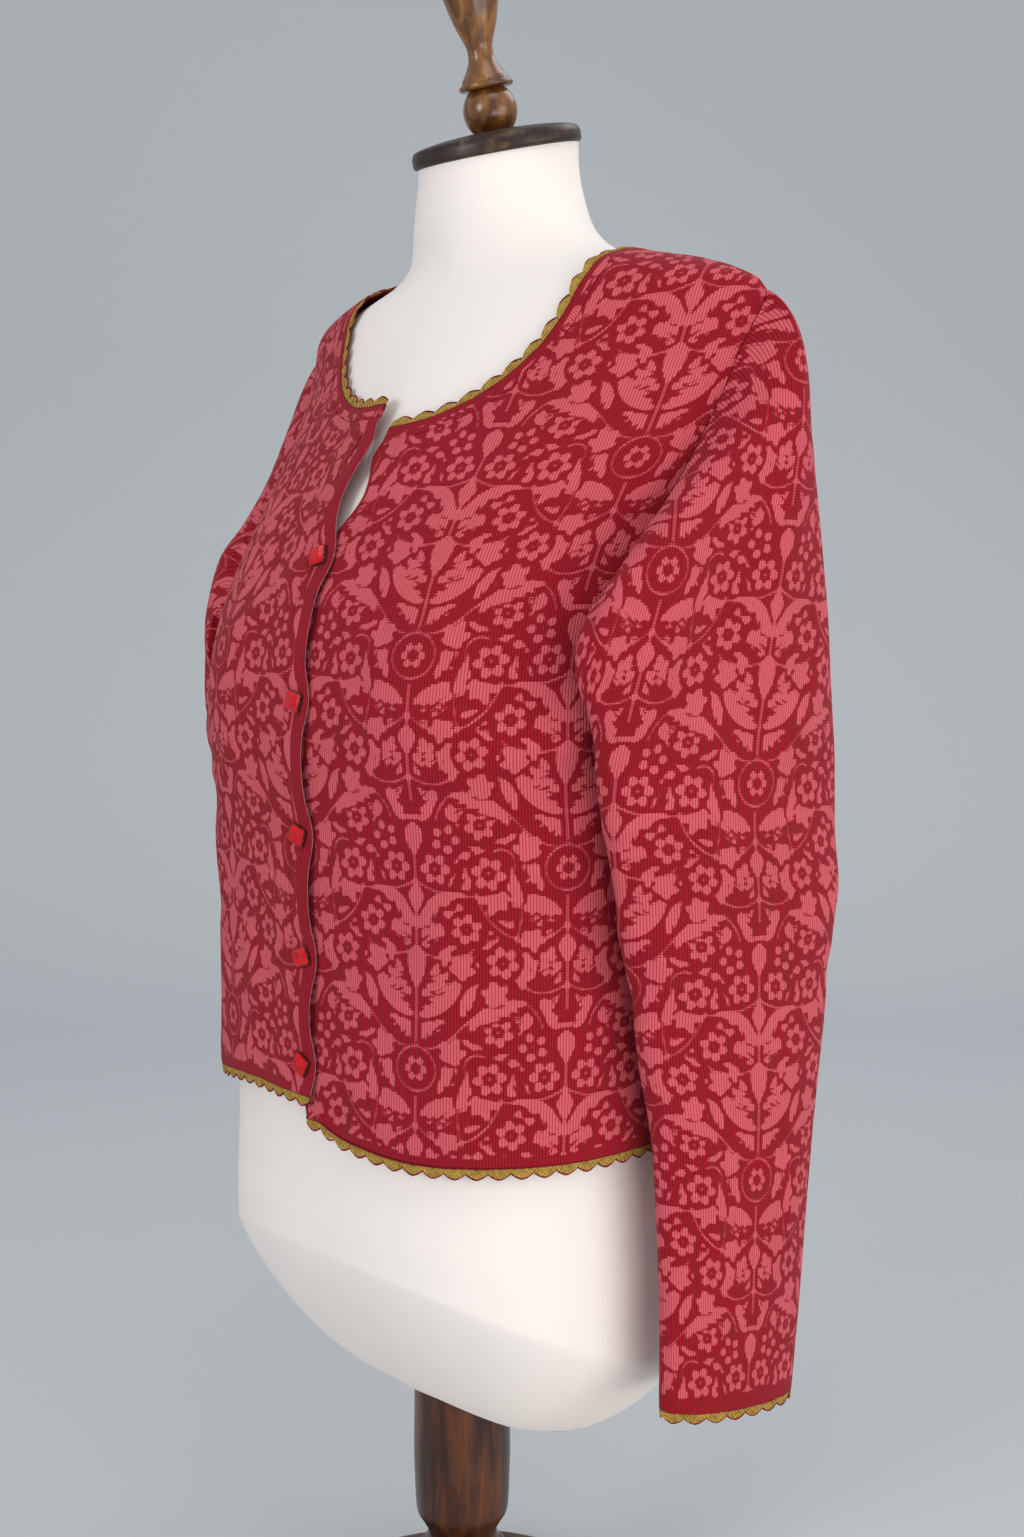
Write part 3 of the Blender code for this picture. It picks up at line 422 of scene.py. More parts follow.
def innerEdge(side, h):
    # how far out a panel begins: at its band, or at the middle of the back
    if side == "back":
        return 0.0 * h
    return garment["frontBand"] + garment["seam"] - reachOf[side](h, False)


def overLift(w, h):
    # between the buttons the upper front stands off a little further
    held = sum(hump(h, b, opening["puffSpread"]) for b in garment["buttonHeights"])
    clear, *lapAcross = opening["lap"]
    puff, *puffAcross = opening["puff"]
    return ((garment["cloth"] + clear) * ease(w, *lapAcross)
            + puff * (1 - np.clip(held, 0, 1)) * ease(w, *puffAcross)
            + bulge("lift", h) * ease(w, *opening["liftAcross"]))


# soft folds, each a gentle ridge (or a trough, with a minus)
folds = {
    "strength": 1.45, "bend": 8.0,          # what every depth is multiplied by; the crests' curve
    # depth, slope, height, width
    "armpit": ((0.0035, 0.10, 0.235, 0.018), (0.0025, 0.16, 0.175, 0.022)),
    "shift": {"right": 0.012, "left": 0.0, "back": 0.0},    # further out and up on that side
    # across, height, angle, length, width, depth
    "front": (
        (0.150, 0.232, 12, 0.040, 0.011, 0.0016),
        (0.128, 0.205, 22, 0.045, 0.010, -0.0011),
        (0.120, 0.150, 38, 0.060, 0.016, 0.0012),
        (0.060, 0.120, 62, 0.070, 0.018, -0.0010),
        (0.100, 0.060, 80, 0.060, 0.015, 0.0012),
        (0.040, 0.055, 98, 0.045, 0.013, 0.0009),
        (0.040, 0.300, -35, 0.040, 0.010, 0.0010),
        (0.115, 0.330, 58, 0.055, 0.013, -0.0012),
        (0.090, 0.375, 40, 0.040, 0.012, 0.0010),
    ),
    "back": (
        (0.140, 0.240, 18, 0.055, 0.013, 0.0020),
        (0.110, 0.190, 30, 0.060, 0.015, -0.0014),
        (0.050, 0.120, 75, 0.080, 0.020, 0.0014),
        (0.120, 0.080, 84, 0.070, 0.017, -0.0012),
        (0.060, 0.400, 8, 0.060, 0.020, 0.0012),
        (0.030, 0.030, 90, 0.040, 0.016, 0.0010),
    ),
}


def foldLift(rows, u, v, bend):
    # how far the folds lift the cloth at flat places u, v; bend curves each ridge's crest
    lift = 0.0 * u
    for across, up, angle, length, width, depth in rows:
        a = math.radians(angle)
        du, dv = u - across, v - up
        along = du * math.cos(a) + dv * math.sin(a)
        aside = -du * math.sin(a) + dv * math.cos(a) + bend * along * along * np.sign(depth)
        lift = lift + folds["strength"] * depth * np.exp(-(aside / width) ** 2
                                                         - (along / length) ** 4)
    return lift


def armpitFold(share, h):
    # creases that run down from the underarm, share being the way from the middle to the side
    crease = sum(depth * hump(h - slope * (share - 0.7), height, width)
                 for depth, slope, height, width in folds["armpit"])
    return ease(share, 0.40, 0.72) * ease(share, 0.98, 0.84) * crease


def quietEdge(w, h, half):
    # folds die out towards the seams, so that the pieces keep meeting there
    return ease(np.abs(w) / half.full(h), 1.0, 0.90) * ease(h, 0.0, 0.02)


def panelPoint(side, w, h):
    # a panel's outer face over its flat coordinates, and the surface's normal there
    half, shift = halfOf[side], folds["shift"][side]
    sign = -1 if side == "right" else 1
    lift = armpitFold(np.abs(w) / half.full(h), h)
    lift = lift + quietEdge(w, h, half) * foldLift(
        folds["back" if half.back else "front"], np.abs(w) - shift, h - 0.6 * shift, folds["bend"])
    if side == "right":
        lift = lift + overLift(w, h)
    x, y = half.spot(w, h)
    return place(sign * x, y, h, lift)


# the knitted figure: one repeat, charted stitch by stitch
knit = {
    "wale": 0.00175,        # width of a stitch
    "course": 0.00150,      # height of a stitch
    "wales": 50,            # stitches from one mirror line to the next
    "courses": 154,         # stitches in the upward repeat
    "thinning": 0.28,       # how much slimmer the figures knit up than they are drawn, in mm
    "soft": 1.8,            # width of the change from ground to pink, in mm
    "stem": 0.98,           # half width of stems and rings, in mm
    "shift": 0.030,         # how far up the repeat the hem cuts it
    "reverse": 5,           # stitches along one cell of the reverse
    "plainEdge": 0.0055,    # plain rows above the hem and the cuffs
}
# all in millimetres from the foot of one figure; x is the way out from its mirror line
plumes = (      # x0, y0, x1, y1, bow, width, teeth
    (2, -4, 28, 28, -0.36, 9.2, 4), (3, -60, 40, -58, 0.44, 9.0, 4),
    (2, -78, 22, -101, 0.36, 7.4, 3), (62, 6, 30, -12, -0.34, 9.2, 4),
    (60, 14, 78, 48, 0.34, 9.0, 4), (2, 46, 32, 66, 0.42, 9.0, 4), (60, 62, 30, 94, -0.30, 9.4, 5),
)
stems = (       # the four points of a curve
    (0, -114, 0, -60, 0, 40, 0, 104),
    (1, -66, 26, -92, 62, -56, 46, -30), (46, -30, 34, -14, 20, -32, 36, -42),
    (1, -20, 22, -30, 30, 12, 62, 6), (62, 6, 78, -4, 74, -30, 60, -22),
    (1, 34, 24, 22, 44, 36, 34, 52), (34, 52, 24, 62, 14, 48, 24, 42),
    (1, 72, 20, 60, 44, 70, 60, 62), (60, 14, 50, 34, 62, 46, 60, 62),
    (1, -100, 16, -110, 30, -100, 34, -88),
)
# x, y, size, petals, turn
daisies = ((0, -34, 7.6, 6, 0), (43, -37, 9.6, 6, 10), (30, 47, 8.8, 6, 20), (67, -19, 8.6, 5, 40),
           (36, -87, 9.2, 6, 15))
rings = ((0, -34, 12.6),)
# x, y, angle, size
ivies = ((21, -25, 70, 12.5), (46, 9, 100, 12.0), (20, 33, -60, 11.5), (57, -64, 20, 13.5),
         (20, -72, -100, 11.0), (47, 66, 250, 12.5), (60, -92, 130, 12.0))
# x, y, length, width
drops = ((0, 24, 24, 6.4), (0, 62, 15, 5.0), (0, 96, 18, 5.6), (0, -80, 15, 5.2))
filler = {"leastRoom": 3.6, "turn": 137.5, "margin": 1.7, "most": 90, "moat": 2.1, "gap": 1.9,
          "ringMoat": 2.0, "daisyRoom": 9.6, "leafRoom": 4.9}


def bezier(points, count):
    p = np.array(points, float).reshape(-1, 2)
    t = np.linspace(0, 1, count)[:, None]
    if len(p) == 3:
        return (1 - t) ** 2 * p[0] + 2 * t * (1 - t) * p[1] + t * t * p[2]
    return ((1 - t) ** 3 * p[0] + 3 * t * (1 - t) ** 2 * p[1] + 3 * t * t * (1 - t) * p[2]
            + t ** 3 * p[3])


def nearestOnLine(spots, line):
    # share of the way along a line, distance from it and the side it lies on
    a, way = line[:-1], np.diff(line, axis=0)
    part = ((spots[:, None] - a) * way).sum(-1) / (way ** 2).sum(-1)
    off = spots[:, None] - (a + np.clip(part, 0, 1)[..., None] * way)
    far = np.hypot(off[..., 0], off[..., 1])
    k = far.argmin(1)
    n = np.arange(len(spots))
    side = np.sign(way[k, 0] * off[n, k, 1] - way[k, 1] * off[n, k, 0])
    return (k + np.clip(part[n, k], 0, 1)) / len(way), far[n, k], side


# each shape tells how deep a place lies inside it, with a minus outside
def plumeShape(spots, x0, y0, x1, y1, bow, width, teeth):
    # a long leaf, smooth along its inner edge and deeply cut along the outer one
    middle = ((x0 + x1) / 2 - (y1 - y0) * bow, (y0 + y1) / 2 + (x1 - x0) * bow)
    along, aside, side = nearestOnLine(spots, bezier((x0, y0, *middle, x1, y1), 24))
    full = np.sin(math.pi * along ** 0.72) ** 0.7
    tooth = 1 - 0.72 * ((along * teeth + aside * 0.045 * teeth) % 1.0) ** 1.6
    return width * full * np.where(side * np.sign(bow) < 0, tooth, 0.34) - aside


def stemShape(spots, *points):
    return knit["stem"] - nearestOnLine(spots, bezier(points, 36))[1]


def daisyShape(spots, x, y, size, petals, turn):
    away = spots - (x, y)
    r = np.hypot(away[:, 0], away[:, 1])
    angle = np.arctan2(away[:, 1], away[:, 0]) - math.radians(turn)
    fan = 2 * math.pi / petals
    angle = (angle + fan / 2) % fan - fan / 2
    petal = size * 0.315 - np.hypot((r * np.cos(angle) - size * 0.68) * 0.9, r * np.sin(angle))
    return np.maximum(np.minimum(petal, r - size * 0.36), size * 0.15 - r)


def ivyShape(spots, x, y, angle, size):
    # five pointed lobes about the stalk
    deep = np.full(len(spots), -99.0)
    for turn, length in ((0, 1.0), (52, 0.82), (-52, 0.82), (112, 0.56), (-112, 0.56)):
        a = math.radians(angle + turn)
        way = np.array([math.cos(a), math.sin(a)])
        away = spots - (x, y)
        along = (away @ way) / (size * length)
        aside = np.abs(away @ (-way[1], way[0]))
        part = np.clip(along, 0, 1)
        lobe = size * 0.27 * np.sin(math.pi * (0.18 + 0.82 * part) ** 0.9) ** 0.8 - aside
        deep = np.maximum(deep, np.minimum(lobe, (1 - along) * size) - np.maximum(-along, 0) * size)
    return deep


def dropShape(spots, x, y, length, width):
    away = spots - (x, y)
    along = away[:, 1] / length + 0.5
    part = np.clip(along, 0, 1)
    deep = width * np.sqrt(np.sin(math.pi * part ** 1.4)) - np.abs(away[:, 0])
    return deep - np.maximum(np.abs(along - 0.5) - 0.5, 0) * length


def curlShape(spots, x, y, reach, turn, bend):
    a = math.radians(turn)
    dx, dy = reach * math.cos(a), reach * math.sin(a)
    along, aside, _ = nearestOnLine(spots, bezier((x - dx, y - dy, x - dy * bend, y + dx * bend,
                                                   x + dx, y + dy), 10))
    return 0.5 + reach * 0.36 * np.sin(math.pi * along ** 0.8) - aside


def freeWay(deep, spot, room):
    # the direction, in degrees, in which an empty place is longest
    row, column = divmod(int(spot), knit["wales"])
    last, reach = knit["wales"] - 1, room / 1000

    def emptiness(turn):
        total, a = 0.0, math.radians(turn)
        for share in (-1.7, -1.0, 1.0, 1.7):
            c = abs(column + share * reach * math.cos(a) / knit["wale"])
            c = int(round(c if c <= last else 2 * last - c))
            r = int(round(row + share * reach * math.sin(a) / knit["course"]))
            total += min(max(-deep[(r % knit["courses"]) * knit["wales"] + c], -2.0), 5.0)
        return total

    return max(range(0, 180, 15), key=emptiness)


def fillerShape(spots, x, y, room, number, turn):
    # what goes in an empty place: a daisy, a cut leaf or a curl, as there is room
    reach = room - filler["margin"]
    if room > filler["daisyRoom"]:
        return daisyShape(spots, x, y, reach * 1.05, 6, number * filler["turn"])
    bow = 0.34 * (-1) ** number
    if room > filler["leafRoom"]:
        dx, dy = (1.7 * room * f(math.radians(turn)) for f in (math.cos, math.sin))
        return plumeShape(spots, x - dx, y - dy, x + dx, y + dy, bow, reach * 1.15, 3)
    return curlShape(spots, x, y, room * 1.5, turn, 2 * bow)


def makeChart():
    # how deep each stitch's corner lies in the pink; the figure stands on one mirror line, and
    # again half a repeat higher on the next
    across, up = knit["wales"], knit["courses"]
    x, y = np.arange(across) * knit["wale"] * 1000, np.arange(up) * knit["course"] * 1000
    wide, tall = x[-1], up * knit["course"] * 1000
    xx, yy = np.meshgrid(x, y)
    first = np.stack([xx.ravel(), ((yy + tall / 2) % tall - tall / 2).ravel()], -1)
    second = np.stack([(wide - xx).ravel(), (yy % tall - tall / 2).ravel()], -1)
    fields = [spots + (0, shift) for spots in (first, second) for shift in (0, tall, -tall)]

    def drawn(shape, *row):
        return np.max([shape(spots, *row) for spots in fields], axis=0)

    deep = np.full(len(first), -99.0)
    for shape, rows in ((plumeShape, plumes), (dropShape, drops), (ivyShape, ivies)):
        for row in rows:
            added = drawn(shape, *row)
            deep = np.maximum(np.minimum(deep, -added - filler["moat"]), added)
    for row in stems:
        deep = np.maximum(deep, drawn(stemShape, *row))
    for x0, y0, r in rings:
        gone = drawn(lambda s: r + filler["ringMoat"] - np.hypot(*(s - (x0, y0)).T))
        line = drawn(lambda s: knit["stem"] - np.abs(np.hypot(*(s - (x0, y0)).T) - r))
        deep = np.maximum(np.minimum(deep, -gone), line)
    for row in daisies:
        gone = drawn(lambda s: row[2] + filler["gap"] - np.hypot(*(s - row[:2]).T))
        deep = np.maximum(np.minimum(deep, -gone), drawn(daisyShape, *row))
    for number in range(filler["most"]):
        spot = deep.argmin()
        if -deep[spot] < filler["leastRoom"]:
            break
        added = drawn(fillerShape, *first[spot], -deep[spot], number,
                      freeWay(deep, spot, -deep[spot]))
        deep = np.maximum(deep, np.minimum(added, -deep - filler["gap"]))
    return deep.reshape(up, across)


chart = makeChart()
print("chart made, share of pink stitches:", round(float((chart > 0).mean()), 3))


def chartAt(u, v):
    # 1 in the pink, 0 in the ground and between them at an edge, from flat places in metres
    around = 2 * knit["wales"] - 2
    column = (np.asarray(u) / knit["wale"]) % around
    column = np.minimum(column, around - column)
    row = (np.asarray(v) / knit["course"]) % knit["courses"]
    wrapped = np.concatenate([chart, chart[:1]])
    return np.clip(0.5 + (bilinear(wrapped, row, column) - knit["thinning"]) / knit["soft"], 0, 1)


# meshes
def addObject(name, data):
    thing = bpy.data.objects.new(name, data)
    bpy.context.scene.collection.objects.link(thing)
    return thing


def meshObject(name, points, faces, material, sharp=50):
    mesh = bpy.data.meshes.new(name)
    mesh.from_pydata(np.asarray(points, float).tolist(), [], faces)
    mesh.materials.append(material)
    mesh.shade_smooth()
    mesh.set_sharp_from_angle(angle=math.radians(sharp))
    return addObject(name, mesh)


def claim(piece, node):
    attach(piece, "root")
    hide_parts(node)
    return piece


def ringFaces(levels, count):
    # quads between stacked rings of points, and a lid at each end
    faces = [tuple(range(count))[::-1], tuple(range((levels - 1) * count, levels * count))]
    for k in range(0, (levels - 1) * count, count):
        for c in range(count):
            d = (c + 1) % count
            faces.append((k + c, k + d, k + count + d, k + count + c))
    return faces


def setUv(thing, perPoint, name="stitches"):
    layer = thing.data.uv_layers.new(name=name)
    index = np.zeros(len(thing.data.loops), np.int32)
    thing.data.loops.foreach_get("vertex_index", index)
    layer.data.foreach_set("uv", np.asarray(perPoint, np.float32)[index].ravel())


def setValue(thing, values, name, domain):
    attribute = thing.data.attributes.new(name, "FLOAT", domain)
    attribute.data.foreach_set("value", np.asarray(values, np.float32))


def faceOutwards(thing):
    made = bmesh.new()
    made.from_mesh(thing.data)
    if made.calc_volume(signed=True) < 0:
        thing.data.flip_normals()
    made.free()
    return thing


# a panel as a sheet of stitches, cut to its outline
def panelOutline(side):
    # closed line in w and h, counter-clockwise from the hem's inner end, and its corners' stations
    half, rise = halfOf[side], hemRise[side]
    edge = garment["seam"] / 2
    inset = garment["neckband"] + edge
    low = garment["neckFront"].get(side, garment["neckBack"]) - inset
    neck = resample(neckFlat(half, side, inset, float(innerEdge(side, low))), 120)
    neck[-1, 0] -= edge
    h = np.linspace(neck[-1, 1], garment["shoulderTip"], 60)
    shoulder = np.stack([half.full(h) - edge, h], -1)
    arm = armholeLine(half, np.linspace(0, 1, 120))
    arm[:, 0] -= edge
    arm[-1] = shoulder[-1]
    h = np.linspace(0, garment["underarm"], 80)
    flank = np.stack([half.full(h) - edge, h], -1)
    foot = float(rise(innerEdge(side, 0.02)))
    h = np.linspace(foot, neck[0, 1], 90)
    opening = np.stack([innerEdge(side, h), h], -1)
    opening[-1] = neck[0]
    w = np.linspace(opening[0, 0], flank[0, 0], 80)
    bottom = np.stack([w, rise(w)], -1)
    bottom[:, 1] += np.linspace(opening[0, 1] - bottom[0, 1], -bottom[-1, 1], len(w))
    parts = [bottom[:-1], flank[:-1], arm[:-1], shoulder[::-1][:-1], neck[::-1][:-1]]
    if side == "back":
        right = np.concatenate(parts)
        left = right[::-1] * (-1, 1)
        outline = np.concatenate([right, [neck[0]], left[:-1]])
        starts = np.cumsum([0] + [len(p) for p in parts])
        corners = list(starts[1:5]) + [len(outline) - k for k in starts[1:5]]
    else:
        parts.append(opening[::-1][:-1])
        outline = np.concatenate(parts)
        corners = list(np.cumsum([0] + [len(p) for p in parts])[:-1])
    return outline, corners


def insideOf(outline, us, vs):
    # which cells have their middle inside, less those that stick out singly; cells that only touch
    # at a corner get a third one beside them
    a, b = outline, np.roll(outline, -1, axis=0)
    inside = np.zeros((len(vs), len(us)), bool)
    for i, v in enumerate(vs):
        crossed = (a[:, 1] > v) != (b[:, 1] > v)
        p, q = a[crossed], b[crossed]
        at = p[:, 0] + (v - p[:, 1]) * (q[:, 0] - p[:, 0]) / (q[:, 1] - p[:, 1])
        inside[i] = (at[:, None] > us[None, :]).sum(0) % 2 == 1
    for _ in range(6):
        ring = np.pad(inside, 1).astype(int)
        beside = ring[1:-1, :-2] + ring[1:-1, 2:] + ring[:-2, 1:-1] + ring[2:, 1:-1]
        inside &= beside >= 2
        for flip in (False, True):
            view = inside[:, ::-1] if flip else inside
            touch = view[:-1, :-1] & view[1:, 1:] & ~view[:-1, 1:] & ~view[1:, :-1]
            view[:-1, 1:] |= touch
    return inside


def stationOn(outline, points):
    # the station of the outline's nearest place to each point
    a, b = outline, np.roll(outline, -1, axis=0)
    way = b - a
    part = ((points[:, None] - a) * way).sum(-1) / np.maximum((way ** 2).sum(-1), 1e-18)
    part = np.clip(part, 0, 1)
    far = np.linalg.norm(points[:, None] - (a + part[..., None] * way), axis=-1)
    k = far.argmin(1)
    return k + part[np.arange(len(points)), k]


def rimLoop(faces, station):
    # the rim's points in order, from the start of the outline
    edges = {}
    for face in faces.tolist():
        for a, b in zip(face, face[1:] + face[:1]):
            edges[(a, b)] = True
    ahead = {a: b for a, b in edges if (b, a) not in edges}
    start = min(ahead, key=lambda p: (station[p], p))
    loop, point = [start], ahead[start]
    while point != start:
        loop.append(point)
        point = ahead[point]
    return np.array(loop)


def zipRims(outerLoop, outerAt, innerLoop, innerAt, total):
    # a strip of triangles between two rims that run the same way round
    a, b = (np.append(np.maximum.accumulate(at), total) for at in (outerAt, innerAt))
    n, m = len(outerLoop), len(innerLoop)
    i = j = 0
    faces = []
    while i < n or j < m:
        p, q = outerLoop[i % n], innerLoop[j % m]
        if j >= m or (i < n and a[i + 1] <= b[j + 1]):
            faces.append((outerLoop[(i + 1) % n], p, q))
            i += 1
        else:
            faces.append((p, q, innerLoop[(j + 1) % m]))
            j += 1
    return faces


# materials: pairs of tones run from dark to light
wool = {
    # the darker tones are the ground and the pink in the gaps between stitch columns: painted
    # shade, and on the pink also the crimson yarn showing
    "ground": colour("941424"), "groundShade": colour("5e0a14"),
    "pink": colour("cc5a64"), "pinkCrimsonAndShade": colour("9a2e3c"),
    "roughness": 0.88, "sheenTint": (1.0, 0.75, 0.78, 1),
}
yarn = {
    "crochet": (colour("76561f"), colour("b89a4c")), "thread": (colour("560c1a"), colour("8e1a2c")),
    # the pale fold tones are the finish along the upper front's free edge, and also a painted
    # highlight on that folded edge
    "fold": (colour("7c4650"), colour("a4787e")), "seam": (wool["groundShade"], colour("861428")),
    "coarse": 260.0, "fine": 500.0,         # scale of the strands
}
# the lower tone is lighter and warmer: painted fill light on the form's underside
jerseyTones = {"upper": colour("e9e3df"), "lower": colour("f1e8df"), "turn": (0.30, 0.19)}
glaze = {"red": colour("c00a14"), "redDeep": colour("7c0610"), "rim": colour("4e3a36"),
         "rimLight": (0.25, 0.14, 0.10)}
wood = {
    "honey": (colour("4a250c"), colour("a06c30")), "dark": (colour("1c0f0b"), colour("3e241b")),
    "redBrown": (colour("2a120a"), colour("6b3a1a")), "worn": (*colour("96734e"), 1),
}


def knitMaterial():
    material, w, shader = newMaterial(
        "jacquardKnit", Roughness=wool["roughness"], Sheen_Weight=0.08, Sheen_Roughness=0.45,
        Sheen_Tint=wool["sheenTint"], Specular_IOR_Level=0.12)
    uv = w.make("ShaderNodeUVMap", {"uv_map": "stitches"})
    split = w.make("ShaderNodeSeparateXYZ", inputs={0: uv})
    across, up = split.out("X"), split.out("Y")
    # each stitch is a V of two legs; the gap between two columns of them is painted darker as
    # shade, and on the pink it also shows the crimson yarn
    leg = across.maths("ABSOLUTE", across.maths("FRACT", across) - 0.5)
    gap = leg.between(0.22, 0.50)
    turn = (up + leg * 1.1) * (2 * math.pi)
    strand = turn.maths("COSINE", turn) * 0.5 + 0.5
    where = w.make("ShaderNodeTexCoord", out=3)
    cloud, fuzz = w.noise(where, 34.0, 3.0), w.noise(where, 1400.0, 2.0)
    # painted shade: the gaps between stitch columns are darkened; on the pink they also take in the
    # crimson yarn
    ground = w.blend(gap * 0.75, wool["ground"], wool["groundShade"])
    pink = w.blend(gap * 0.85, wool["pink"], wool["pinkCrimsonAndShade"])
    figure, stitch = (w.make("ShaderNodeAttribute", {"attribute_name": name}, out=2)
                      for name in ("figure", "stitchFigure"))
    edge = figure * 0.45 + stitch * 0.55 + (strand - 0.5) * 0.14
    tone = ground.mix(pink, edge.between(0.38, 0.62))
    # the strand term is a painted highlight along each stitch's legs; cloud and fuzz give random
    # tone
    shade = 0.90 + 0.14 * strand + (cloud - 0.5) * 0.16 + (fuzz - 0.5) * 0.20
    feed(tone.shaded(shade), shader, "Base Color")
    feedBump(strand * 0.35 + (1 - gap) * 0.9 + fuzz * 0.3, shader, 0.55, 0.0006)
    return material


def yarnMaterial(name, tones, scale):
    material, w, shader = newMaterial(name, Roughness=0.85, Sheen_Weight=0.04,
                                      Specular_IOR_Level=0.08)
    where = w.make("ShaderNodeTexCoord", out=3)
    strands = w.wave(where, "DIAGONAL", scale, 3.0, 1.0, **{"Detail Scale": 3.0})
    share = (strands * 0.45 + w.noise(where, 260.0, 3.0) * 0.75).between(0.25, 0.95)
    feed(w.blend(share, *tones), shader, "Base Color")
    feedBump(strands, shader, 0.5, 0.0004)
    return material


def jerseyMaterial():
    # fine stocking fabric: barely visible wales; lighter and a touch warmer where it turns under,
    # which is painted fill light on the underside
    material, w, shader = newMaterial("creamJersey", Roughness=0.82, Sheen_Weight=0.25,
                                      Specular_IOR_Level=0.3)
    where = w.make("ShaderNodeTexCoord", out=3)
    height = w.make("ShaderNodeSeparateXYZ", inputs={0: where}).out("Z")
    # painted fill light: the lower tone is lighter, below the height where the form turns under
    tone = w.blend(height.between(*jerseyTones["turn"]) * 0.8, jerseyTones["upper"],
                   jerseyTones["lower"])
    feed(tone.shaded(0.96 + (w.noise(where, 9.0, 3.0) - 0.5) * 0.08), shader, "Base Color")
    wales, courses = (w.wave(where, way, 420.0, 1.5, 2.0) for way in "XZ")
    feedBump(wales * 0.6 + courses * 0.4, shader, 0.25, 0.0002)
    return material


def woodMaterial(name, tones, grain, gloss, coat, worn=0.0):
    # grain: how stretched the fibres are along each way
    material, w, shader = newMaterial(name, Roughness=gloss, Coat_Weight=coat,
                                      Coat_Roughness=0.20, Specular_IOR_Level=0.35)
    where = w.make("ShaderNodeTexCoord", out=3)
    along = w.make("ShaderNodeMapping", {"vector_type": "POINT"}, {"Vector": where, "Scale": grain})
    fibre = w.noise(along, 150.0, 5.0, Roughness=0.62, Distortion=0.4)
    rings = w.noise(along, 26.0, 2.0, Distortion=1.2)
    patch = w.noise(where, 19.0, 3.0)
    share = (fibre * 0.60 + rings * 0.45 + patch * 0.35 - 0.20).between(0.36, 0.76)
    tone = w.blend(share, *tones)
    if worn:
        edge = w.make("ShaderNodeNewGeometry", out=7)
        wear = (edge * 1.6 + w.noise(where, 90.0, 4.0) * 0.6).between(1.16, 1.38)
        tone = tone.mix(wood["worn"], wear * worn)
    feed(tone, shader, "Base Color")
    feed(gloss + (patch - 0.5) * 0.16, shader, "Roughness")
    feedBump(fibre, shader, 0.18, 0.0005)
    return material


def glazeMaterial():
    material, w, shader = newMaterial("redGlaze", Roughness=0.16, Coat_Weight=0.2,
                                      Coat_Roughness=0.03, Specular_IOR_Level=0.25)
    where = w.make("ShaderNodeTexCoord", out=3)
    cloud = w.noise(where, 240.0, 2.0).between(0.35, 0.75)
    feed(w.blend(cloud * 0.6, glaze["red"], glaze["redDeep"]), shader, "Base Color")
    feedBump(w.noise(where, 420.0, 1.0), shader, 0.12, 0.0004)
    return material


def rimMaterial():
    material, w, shader = newMaterial("buttonRim", Metallic=0.85, Roughness=0.35)
    where = w.make("ShaderNodeTexCoord", out=3)
    cloud = w.noise(where, 500.0, 3.0).between(0.4, 0.7)
    feed(w.blend(cloud, glaze["rim"], glaze["rimLight"]), shader, "Base Color")
    return material


jacquard = knitMaterial()
crochetYarn = yarnMaterial("crochetYarn", yarn["crochet"], yarn["coarse"])
darkThread, foldCord, seamYarn = (
    yarnMaterial(name, yarn[key], yarn["fine"])
    for name, key in (("darkThread", "thread"), ("foldCord", "fold"), ("seamYarn", "seam")))
jersey, redGlaze, buttonRim = jerseyMaterial(), glazeMaterial(), rimMaterial()
darkWood = woodMaterial("darkWood", wood["dark"], (0.25, 1.6, 1.6), 0.42, 0.10, worn=0.5)
redBrownWood = woodMaterial("redBrownWood", wood["redBrown"], (1.0, 1.0, 0.10), 0.34, 0.20)
honeyWood = woodMaterial("honeyWood", wood["honey"], (1.0, 1.0, 0.16), 0.30, 0.45)
print("materials made")


# cloth surfaces: places on them, flat and worn
class PanelCloth:
    # a front or the back; a place is (w, h)
    def __init__(self, side):
        self.side, self.half = side, halfOf[side]

    def flat(self, p):
        return np.stack([p[..., 0], self.half.upOf(p[..., 0], p[..., 1])], -1)

    def unflat(self, f):
        return np.stack([f[..., 0], self.half.heightOf(f[..., 0], f[..., 1])], -1)

    def point(self, p):
        return panelPoint(self.side, p[..., 0], p[..., 1])


sleeve = {
    "fold": {"left": 1.9, "right": 1.10},       # how far the fold before the underarm swells
    "setBack": {"left": 0.0, "right": 0.008},
    "cuffTilt": 0.11, "bend": 5.0,
    "spread": (0.35, 0.75),     # how far the head leans forward and back as it leaves the armhole
    "headPull": 0.22, "ringPull": 0.42,     # how straight the head starts and ends
    "armhole": 400,         # stations along each half of the armhole
    "down": 200, "around": 240,     # cells of the table that lays the sleeve flat
    "slit": 0.006,          # half the gap of the sleeve's own seam, as an angle
    "foot": 0.004,          # how far above the flat grid's zero the plain rows begin
    "folds": (                              # across, up, angle, length, width, depth
        (0.075, 0.470, 78, 0.110, 0.016, 0.0022), (0.035, 0.455, 84, 0.090, 0.015, -0.0014),
        (0.110, 0.390, 70, 0.060, 0.012, 0.0016), (0.020, 0.330, 60, 0.050, 0.014, 0.0012),
        (0.060, 0.270, 38, 0.040, 0.011, 0.0015), (0.070, 0.235, 24, 0.038, 0.010, -0.0012),
        (0.040, 0.150, 72, 0.060, 0.013, 0.0010), (-0.050, 0.450, 96, 0.100, 0.018, 0.0018),
        (-0.070, 0.300, 140, 0.045, 0.012, 0.0014), (-0.060, 0.250, 155, 0.045, 0.011, -0.0011),
        (-0.035, 0.120, 100, 0.060, 0.014, 0.0010),
    ),
}
sleeveColumns = ("height", "centreX", "centreY", "halfThick", "halfWide", "turn")
